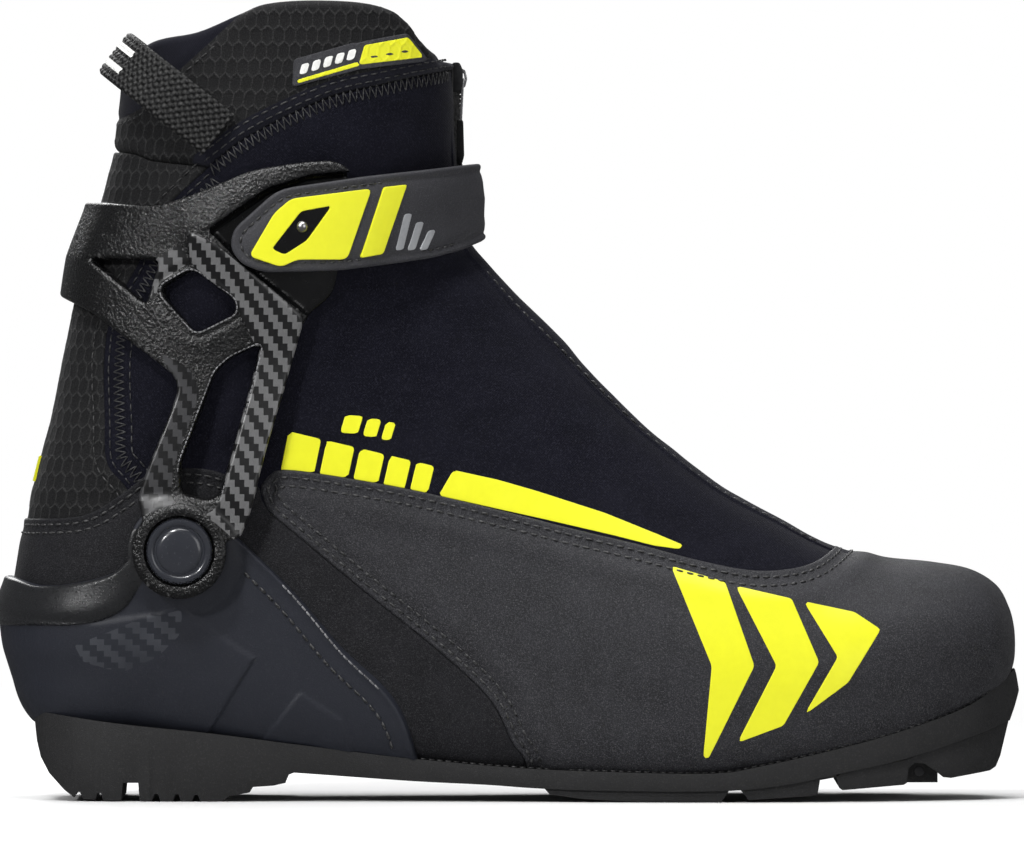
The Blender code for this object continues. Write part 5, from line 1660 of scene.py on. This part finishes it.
def make_labels():
    def add(name, outline, radius, height, look, sink=0.1):
        field = within(rounded(outline, radius))
        face = FACES["collar"]
        return raised_print(name, field, face, height, look, LABEL_ROWS, LABEL_ANGLES, 0.2, 0.6, sink)

    pieces = [add("label_base", LABEL, 0.8, 0.7, "strap", 0.6)]
    pieces += [
        add("label_box", LABEL_BOX, 0.4, 0.85, "yellow"),
        add("label_line", LABEL_LINE, 0.2, 0.85, "yellow")
    ]
    for k in range(3):
        x, z = -42.3 + 4.4 * k, 217.8 + 0.75 * k
        tick = [(x, z), (x + 2.9, z + 0.5), (x + 2.8 - 0.5 * k, z + 1.3), (x + 0.3, z + 0.8)]
        pieces.append(add(f"label_tick_{k}", tick, 0.1, 0.95, "strap"))
    for k in range(5):
        x, z = -62.6 + 3.4 * k, 212.9 + 1.03 * k
        bar = [(x, z), (x + 2.4, z + 0.7), (x + 3.3, z + 3.9), (x + 0.9, z + 3.2)]
        pieces.append(add(f"label_bar_{k}", bar, 0.3, 0.9, "white_weave"))
    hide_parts("collar_label")
    face = FACES["achilles"]
    marker = raised_print(
        "heel_marker_print", within(rounded(MARKER, 0.8)), face, 0.6, "yellow", (17, 22), (171, 189)
    )
    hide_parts("heel_marker")
    on_shaft(*pieces, marker)


# --- the sole ---------------------------------------------------------------------------------------------
SOLE_PLAN = [
    (-140, 18, 18), (-134, 27, 27), (-124, 33, 33), (-105, 36, 36), (-80, 35.6, 35),
    (-52, 35.2, 32.6)
]
SOLE_PLAN += [(-24, 36.5, 33), (2, 39.5, 36.5), (26, 43, 41.5), (48, 46, 46), (68, 47, 47), (86, 46.5, 46.5)]
SOLE_PLAN += [(103, 44, 44), (118, 39.5, 39.5), (130, 33.5, 33.5), (139, 26, 26), (146, 14, 14)]
PLATE_UNDERSIDE = [
    (147, 23), (135, 18.5), (115, 12.3), (95, 8), (80, 5), (62, 3.3), (30, 3.3), (8, 3.9), (-7, 4.9)
]
PLATE_UNDERSIDE += [(-30, 6), (-64, 8.4)]
HEEL_BLOCK = [
    (-66, 7.6), (-66.5, 5.4), (-70, 4.6), (-76, 4.2), (-77, 2.6), (-83.2, 1.4), (-84.6, 0.2),
    (-91.5, 0.0)
]
HEEL_BLOCK += [
    (-92.2, 1.9), (-93.2, 1.9), (-94, 0.0), (-97.2, 0.0), (-97.9, 2.1), (-98.9, 2.1), (-99.6, 0.0)
]
HEEL_BLOCK += [
    (-103.2, 0.0), (-103.9, 2.2), (-105, 2.2), (-105.8, 0.0), (-109.3, 0.2), (-109.7, 5.4),
    (-114.2, 5.4)
]
HEEL_BLOCK += [
    (-114.8, 0.2), (-120, 0.2), (-120.7, 2.3), (-121.8, 2.3), (-122.4, 0.4), (-126, 0.6),
    (-126.9, 2.6)
]
HEEL_BLOCK += [
    (-128, 2.6), (-128.6, 1.0), (-131.7, 3.3), (-136.1, 8), (-138.7, 12.7), (-139.9, 17.4),
    (-141, 26.4)
]
TOE_NOSE = [(149.1, 36.3), (150, 31.6), (148.5, 26.9)]
FOREFOOT = [
    (95.4, 8.3), (62, 3.4), (30, 3.4), (9.5, 3.9), (11, 2.2), (20, 0.9), (34, 0.2), (61, 0.0),
    (62.4, 1.5)
]
FOREFOOT += [
    (63.6, 3.4), (67, 3.5), (68.4, 1.9), (69.2, 0.6), (88.5, 1.8), (89.6, 2.4), (90.3, 6.4),
    (95.0, 7.2)
]
TOE_BLOCK = [
    (146.6, 22.8), (135, 18.4), (115, 12.1), (96.2, 8.2), (95.0, 7.3), (96, 4.0), (97, 3.4),
    (115, 4.8)
]
TOE_BLOCK += [
    (116.0, 5.4), (116.4, 9.6), (118.2, 11.2), (121.0, 11.0), (124.6, 8.6), (126.7, 6.9), (129, 6.6)
]
TOE_BLOCK += [(140.8, 8.5), (142.6, 9.6), (144, 12.7), (145.2, 17.4)]


def temporary(name, outline, place):
    """A closed solid between place(point, 0) and place(point, 1), to be carved with."""
    count = len(outline)
    points = [place(p, 0) for p in outline] + [place(p, 1) for p in outline]
    faces = [tuple(range(count)), tuple(range(2 * count - 1, count - 1, -1))]
    faces += [(i, i + count, (i + 1) % count + count, (i + 1) % count) for i in range(count)]
    mesh = bpy.data.meshes.new(name)
    mesh.from_pydata([tuple(float(c) * MM for c in p) for p in points], [], faces)
    form = bpy.data.objects.new(name, mesh)
    bpy.context.scene.collection.objects.link(form)
    work = bmesh.new()
    work.from_mesh(mesh)
    bmesh.ops.recalc_face_normals(work, faces=work.faces)
    work.to_mesh(mesh)
    work.free()
    return form


def across_boot(name, outline, y0=-70.0, y1=70.0):
    return temporary(name, outline, lambda p, end: (p[0], (y0, y1)[end], p[1]))


def box(name, low, high):
    outline = [(low[0], low[1]), (high[0], low[1]), (high[0], high[1]), (low[0], high[1])]
    return temporary(name, outline, lambda p, end: (p[0], p[1], (low[2], high[2])[end]))


def sole_plan(inset=0.0, steps=7):
    """The sole's outline from above, smooth through its stations."""
    lateral = [(x, centreline(x) - left + inset) for x, left, _ in SOLE_PLAN]
    medial = [(x, centreline(x) + right - inset) for x, _, right in reversed(SOLE_PLAN)]
    ring = [(-141.5 + inset, 0), *lateral, (150 - inset, centreline(150)), *medial]
    return smooth(ring, closed=True, step=2.2)


def foot_solid(grow):
    """The filled last, closed at the top, to carve the sole's seat with."""
    rows, columns = stations(0.05, 20, 5.0), 96
    grid = last_points(*np.meshgrid(rows, np.arange(columns) * 360 / columns, indexing="ij"), grow)
    points = grid.reshape(-1, 3)
    faces = [tuple(range(columns))]
    for i in range(len(rows) - 1):
        for j in range(columns):
            a, b = i * columns + j, i * columns + (j + 1) % columns
            faces.append((a, a + columns, b + columns, b))
    faces.append(tuple(range(len(points) - 1, len(points) - columns - 1, -1)))
    mesh = bpy.data.meshes.new("foot")
    mesh.from_pydata([tuple(float(c) * MM for c in p) for p in points], [], faces)
    form = bpy.data.objects.new("foot", mesh)
    bpy.context.scene.collection.objects.link(form)
    work = bmesh.new()
    work.from_mesh(mesh)
    bmesh.ops.recalc_face_normals(work, faces=work.faces)
    work.to_mesh(mesh)
    work.free()
    return form


def carved(name, form, cuts, look, edge=0.5):
    """A hard piece from a form, the forms that cut or join it, and softened edges."""
    for number, (other, operation) in enumerate(cuts):
        modifier = form.modifiers.new(f"cut_{number}", "BOOLEAN")
        modifier.object, modifier.operation, modifier.solver = other, operation, "EXACT"
    if edge:
        modifier = form.modifiers.new("edges", "BEVEL")
        modifier.width, modifier.segments = edge * MM, 3
        modifier.limit_method, modifier.angle_limit = "ANGLE", math.radians(32)
        modifier.harden_normals = False
    bpy.context.view_layer.update()
    mesh = bpy.data.meshes.new_from_object(form.evaluated_get(bpy.context.evaluated_depsgraph_get()))
    mesh.name = name
    for other, _ in cuts:
        if other.name in bpy.data.objects:
            other.hide_render = True
    bpy.data.objects.remove(form)
    piece = bpy.data.objects.new(name, mesh)
    bpy.context.scene.collection.objects.link(piece)
    mesh.materials.clear()
    mesh.materials.append(LOOKS[look])
    mesh.shade_smooth()
    mesh.set_sharp_from_angle(angle=math.radians(35))
    keep_places(piece)
    return piece


def make_sole():
    feather = list(map(tuple, smooth(FEATHER, step=4)))
    underside = list(map(tuple, smooth(PLATE_UNDERSIDE, step=4)))
    plan, inner_plan = sole_plan(0.0), sole_plan(1.0)
    as_plan = lambda ring: lambda p, end: (p[0], p[1], (-5, 60)[end])
    plan_form = temporary("plan", plan, as_plan(plan))
    tread_form = temporary("tread_plan", inner_plan, as_plan(inner_plan))
    foot = foot_solid(0.3)
    profile = feather + TOE_NOSE + underside + HEEL_BLOCK
    grooves = []
    for side in (-1, 1):
        grooves.append(
            (box(f"groove_{side}", (-150, side * 10 - 3, -5), (-60, side * 10 + 3, 6)), "DIFFERENCE")
        )
        grooves.append(
            (box(f"fore_groove_{side}", (0, side * 10 - 3, -5), (96, side * 10 + 3, 1.9)), "DIFFERENCE")
        )
        grooves.append(
            (box(f"toe_groove_{side}", (90, side * 10 - 3, -5), (116, side * 10 + 3, 8.2)), "DIFFERENCE")
        )
    unit = carved(
        "sole_unit", across_boot("sole", profile),
        [(plan_form, "INTERSECT"), (foot, "DIFFERENCE"), *grooves[::3]], "sole_rubber"
    )
    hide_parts("sole_plate", "heel_tread")
    fore = carved(
        "forefoot_lugs", across_boot("fore", FOREFOOT), [(tread_form, "INTERSECT"), *grooves[1::3]],
        "sole_rubber"
    )
    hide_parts("forefoot_tread")
    cheeks = [
        (
            box(f"cheek_{side}", (115, side * 21.5 - 2, 5.2), (125.2, side * 21.5 + 2, 11.8)),
            "UNION"
        ) for side in (-1, 1)
    ]
    toe = carved(
        "toe_block", across_boot("toe", TOE_BLOCK),
        [(tread_form, "INTERSECT"), *grooves[2::3], *cheeks], "sole_rubber"
    )
    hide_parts("toe_binding_block")
    for form in [plan_form, tread_form, foot] + [g for g, _ in grooves] + [c for c, _ in cheeks]:
        bpy.data.objects.remove(form)
    welt = stitch_rows(
        "sole_welt_stitches", [offset(smooth(FEATHER), 1.2)[52:-6]], 1.0, radius=0.26, length=1.7,
        gap=0.7
    )
    on_boot(unit, fore, toe, welt)


# --- the pull loop ----------------------------------------------------------------------------------------
def make_pull_loop():
    """A webbing band from side to side round the back of the collar, with lengthwise ribs."""
    back = np.array((-math.cos(LOOP_TILT), 0, math.sin(LOOP_TILT)))
    up = np.array((math.sin(LOOP_TILT), 0, math.cos(LOOP_TILT)))
    anchor = np.array((LOOP_ANCHOR[0], 0, LOOP_ANCHOR[1]))
    u, phi = on_last(np.array([(LOOP_ANCHOR[0] + 10, LOOP_ANCHOR[1])]))
    half = -last_points(u, phi, 0.0)[0, 1] + 2.6
    power = 3.0
    turn = np.radians(np.linspace(-90, 90, 121))
    radius = (np.abs(np.cos(turn)) ** power + np.abs(np.sin(turn)) ** power) ** (-1 / power)
    ring = np.stack([LOOP_REACH * radius * np.cos(turn), half * radius * np.sin(turn)], axis=1)
    lead = np.linspace(-1.2, -0.4, 3)
    ring = np.concatenate(
        [np.stack([lead, np.full(3, -half)], 1), ring, np.stack([lead[::-1], np.full(3, half)], 1)]
    )
    tangent = np.gradient(ring, axis=0)
    normal = np.stack([tangent[:, 1], -tangent[:, 0]], axis=1) / np.linalg.norm(tangent, axis=1)[:, None]
    ribs, rib_steps = 9, 5
    across = np.linspace(-0.5, 0.5, ribs * rib_steps + 1)
    relief = 0.22 * np.abs(np.sin(np.pi * (across + 0.5) * ribs))
    edge = 1 - np.clip(np.abs(across) / 0.5, 0, 1) ** 14
    section = [(a, -(0.5 + r) * e) for a, r, e in zip(across, relief, edge)]
    section += [(a, (0.5 + r) * e) for a, r, e in zip(across[::-1], relief[::-1], edge[::-1])][1:-1]
    run = np.concatenate([[0], np.cumsum(np.linalg.norm(np.diff(ring, axis=0), axis=1))])
    points = []
    for (along, side), (n_along, n_side), s in zip(ring, normal, run):
        cross_rib = 1 + 0.25 * math.sin(2 * math.pi * s / 1.6)
        for a, out in section:
            out = out * cross_rib * LOOP_THICKNESS / 1.2
            place = anchor + back * (along + n_along * out) + up * (LOOP_WIDTH * a)
            points.append(place + np.array((0, side + n_side * out, 0)))
    count, faces, white = len(section), [], []
    for i in range(len(ring) - 1):
        for k in range(count):
            a, b = i * count + k, i * count + (k + 1) % count
            faces += [(a, b, b + count), (a, b + count, a + count)]
            striped = 0.14 < abs(section[k][0]) < 0.26 and ring[i][0] > LOOP_REACH - 6.0
            white += [striped, striped]
    end = (len(ring) - 1) * count
    caps = [(0, k + 1, k) for k in range(1, count - 1)] + [
        (end, end + k, end + k + 1) for k in range(1, count - 1)
    ]
    faces += caps
    white += [False] * len(caps)
    rest = [(s, 0, LOOP_WIDTH * a) for s in run for a, _ in section]
    loop = mesh_piece("pull_loop_band", points, faces, "ribbed_webbing", sharp=60, rest=np.array(rest))
    loop.data.materials.append(LOOKS["white_weave"])
    loop.data.polygons.foreach_set("material_index", np.array(white, np.int32))
    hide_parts("pull_loop")
    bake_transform(loop)


# --- the zip ----------------------------------------------------------------------------------------------
SLIDER = [(-17.6, 208.4), (-15.2, 208.4), (-14.5, 210.6), (-14.5, 215.0), (-15.5, 217.2), (-17.6, 217.2)]
BRIDGE = [(-15.0, 209.4), (-13.8, 210.0), (-13.2, 212.4), (-13.8, 214.9), (-15.0, 215.5), (-15.0, 214.4)]
BRIDGE += [(-14.3, 214.0), (-14.0, 212.4), (-14.3, 211.0), (-15.0, 210.6)]
LINK = [(-15.6, 198.5), (-14.8, 198.5), (-14.1, 212.6), (-14.9, 212.6)]
TAB = [(-17.0, 187.2), (-14.9, 186.8), (-14.1, 189.6), (-14.4, 200.2), (-16.3, 200.4)]


def make_zip():
    path = last_points(np.linspace(14.6, 26, 400), 0.0, 1.3)
    run = np.concatenate([[0], np.cumsum(np.linalg.norm(np.diff(path, axis=0), axis=1))])
    stops = np.arange(0.6, run[-1], 1.35)
    places = np.stack([np.interp(stops, run, path[:, k]) for k in range(3)], axis=1)
    places = places[(places[:, 2] > 166.5) & (places[:, 2] < 216)]
    side = np.where(np.arange(len(places)) % 2 == 0, 1.0, -1.0)[:, None] * np.array((0, 1.0, 0))
    up = np.tile((1.0, 0, 0), (len(places), 1))
    teeth = threads("zip_teeth", places - side * 0.6, places + side * 2.2, up, 0.62, "dark_metal")
    area = within([(-60, 166), (20, 166), (20, 216.8), (-60, 216.8)])
    tape_field = both(area, lambda p: np.abs(p[:, 1]) - 6.0)
    sheet = Sheet(stations(14.6, 26.5, 1.2), turns(-24, 24, 0.7, 20)).trim(tape_field, 0.3)
    in_slit = lambda p: ramp(-np.abs(p[:, 1]), -ZIP_SLIT_HALF_WIDTH, -2.6)
    tape = solid("zip_tape", sheet, lambda p: -0.3 + 1.9 * in_slit(p), -1.4, "webbing")
    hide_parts("zip_chain")
    on_shaft(tape, teeth)
    slider = carved(
        "zip_slider_body", across_boot("slider", rounded(SLIDER, 0.7), -3.6, 3.6), [], "dark_metal",
        0.5
    )
    bridge = carved(
        "zip_slider_bridge", across_boot("bridge", rounded(BRIDGE, 0.3), -0.9, 0.9), [], "steel",
        0.2
    )
    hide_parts("zip_slider")
    for piece in (slider, bridge):
        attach(piece, "zip_slider")
    link = carved("zip_link", across_boot("link", rounded(LINK, 0.3), -2.2, 2.2), [], "steel", 0.25)
    tab = carved("zip_tab", across_boot("tab", rounded(TAB, 0.7), -3.1, 3.1), [], "cuff_smooth", 0.5)
    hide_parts("zip_pull")
    for piece in (link, tab):
        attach(piece, "zip_pull")


# --- stage ------------------------------------------------------------------------------------------------
FLOOR_RADIUS, FLOOR_Z = 2.4, -0.0001
FLOOR_SHADED = (0.5, 1.3)
LIGHTS = (
    ("key", (-0.6, -1.0, 1.6), (-0.05, 0, 0.12), 0.22, 15),
    ("glint", (-1.1, -1.5, 0.95), (-0.08, 0, 0.14), 0.14, 14),
    ("fill", (1.4, -1.8, 0.7), (0.05, 0, 0.08), 1.2, 9),
    ("top", (0.1, -0.15, 1.9), (0, 0, 0), 1.3, 32),
    ("back", (-0.5, 1.7, 1.1), (0, 0, 0.1), 1.0, 18),
)


def make_floor():
    """A round pale floor that takes the shadow near the boot and glows plain white further out."""
    steps = 96
    angles = np.linspace(0, 2 * math.pi, steps, endpoint=False)
    points = [(0, 0, FLOOR_Z)] + [
        (FLOOR_RADIUS * math.cos(a), FLOOR_RADIUS * math.sin(a), FLOOR_Z) for a in angles
    ]
    mesh = bpy.data.meshes.new("floor")
    mesh.from_pydata(points, [], [(0, k + 1, (k + 1) % steps + 1) for k in range(steps)])
    floor = bpy.data.objects.new("floor", mesh)
    bpy.context.scene.collection.objects.link(floor)
    look = Look("pale_floor", "object", Roughness=0.5, Specular_IOR_Level=0.3)
    look.colour(look.mix(look.noise(0.01, 2), (0.86, 0.86, 0.86), (0.88, 0.88, 0.88)))
    tree = look.material.node_tree
    where, length, ramp_node, glow, blend = (
        tree.nodes.new(kind)
        for kind in (
            "ShaderNodeTexCoord",
            "ShaderNodeVectorMath",
            "ShaderNodeMapRange",
            "ShaderNodeEmission",
            "ShaderNodeMixShader",
        )
    )
    length.operation = "LENGTH"
    ramp_node.inputs["From Min"].default_value, ramp_node.inputs["From Max"].default_value = FLOOR_SHADED
    ramp_node.interpolation_type = "SMOOTHSTEP"
    output = next(node for node in tree.nodes if node.type == "OUTPUT_MATERIAL")
    surface = output.inputs["Surface"].links[0].from_socket
    tree.links.new(where.outputs["Object"], length.inputs[0])
    tree.links.new(length.outputs["Value"], ramp_node.inputs["Value"])
    tree.links.new(ramp_node.outputs["Result"], blend.inputs["Fac"])
    tree.links.new(surface, blend.inputs[1])
    tree.links.new(glow.outputs["Emission"], blend.inputs[2])
    tree.links.new(blend.outputs["Shader"], output.inputs["Surface"])
    mesh.materials.append(look.material)
    floor.visible_glossy = False


def make_world():
    world = bpy.data.worlds.new("studio")
    bpy.context.scene.world = world
    world.use_nodes = True
    tree = world.node_tree
    dim = tree.nodes["Background"]
    dim.inputs["Color"].default_value = (0.97, 0.98, 1.0, 1)
    dim.inputs["Strength"].default_value = 0.11
    white = tree.nodes.new("ShaderNodeBackground")
    white.inputs["Color"].default_value = (1, 1, 1, 1)
    path, blend = tree.nodes.new("ShaderNodeLightPath"), tree.nodes.new("ShaderNodeMixShader")
    tree.links.new(path.outputs["Is Camera Ray"], blend.inputs["Fac"])
    tree.links.new(dim.outputs[0], blend.inputs[1])
    tree.links.new(white.outputs[0], blend.inputs[2])
    tree.links.new(blend.outputs[0], tree.nodes["World Output"].inputs["Surface"])


def make_stage():
    scene = bpy.context.scene
    scene.view_settings.view_transform = "Standard"
    make_floor()
    make_world()
    for name, place, aim, size, power in LIGHTS:
        light = bpy.data.objects.new(name, bpy.data.lights.new(name, "AREA"))
        light.data.energy = power
        light.data.size = size
        light.location = place
        light.rotation_euler = (Vector(aim) - Vector(place)).to_track_quat("-Z", "Y").to_euler()
        scene.collection.objects.link(light)


def make_camera():
    camera = bpy.data.objects.new("camera", bpy.data.cameras.new("camera"))
    target, distance, elevation = Vector((0.0, 0.0, 0.1092)), 5.0, math.radians(0.6)
    camera.location = target + distance * Vector((0, -math.cos(elevation), math.sin(elevation)))
    camera.rotation_euler = (target - camera.location).to_track_quat("-Z", "Y").to_euler()
    camera.data.sensor_width = 36.0
    picture_width = 0.3026
    camera.data.lens = camera.data.sensor_width * distance / picture_width
    camera.data.clip_end = 20
    bpy.context.scene.collection.objects.link(camera)
    bpy.context.scene.camera = camera


make_camera()
make_stage()
make_sole()
make_lining()
make_vamp()
make_foxing()
make_softshell()
make_achilles()
make_collar()
make_heel_shell()
make_cuff()
make_caps()
make_strap()
make_badges()
make_prints()
make_labels()
make_pull_loop()
make_zip()
repaint("dark_steel", "toe_bar", "pivot_post_lateral", "pivot_post_medial")
repaint("board", "lasting_board", "toe_puff", "pivot_washer_lateral", "pivot_washer_medial")
repaint("foam", "footbed", "strap_loop_patch")
bent_stiffeners("board", "heel_counter")
bent_stiffeners("foam", "eyestay_lateral", "eyestay_medial")
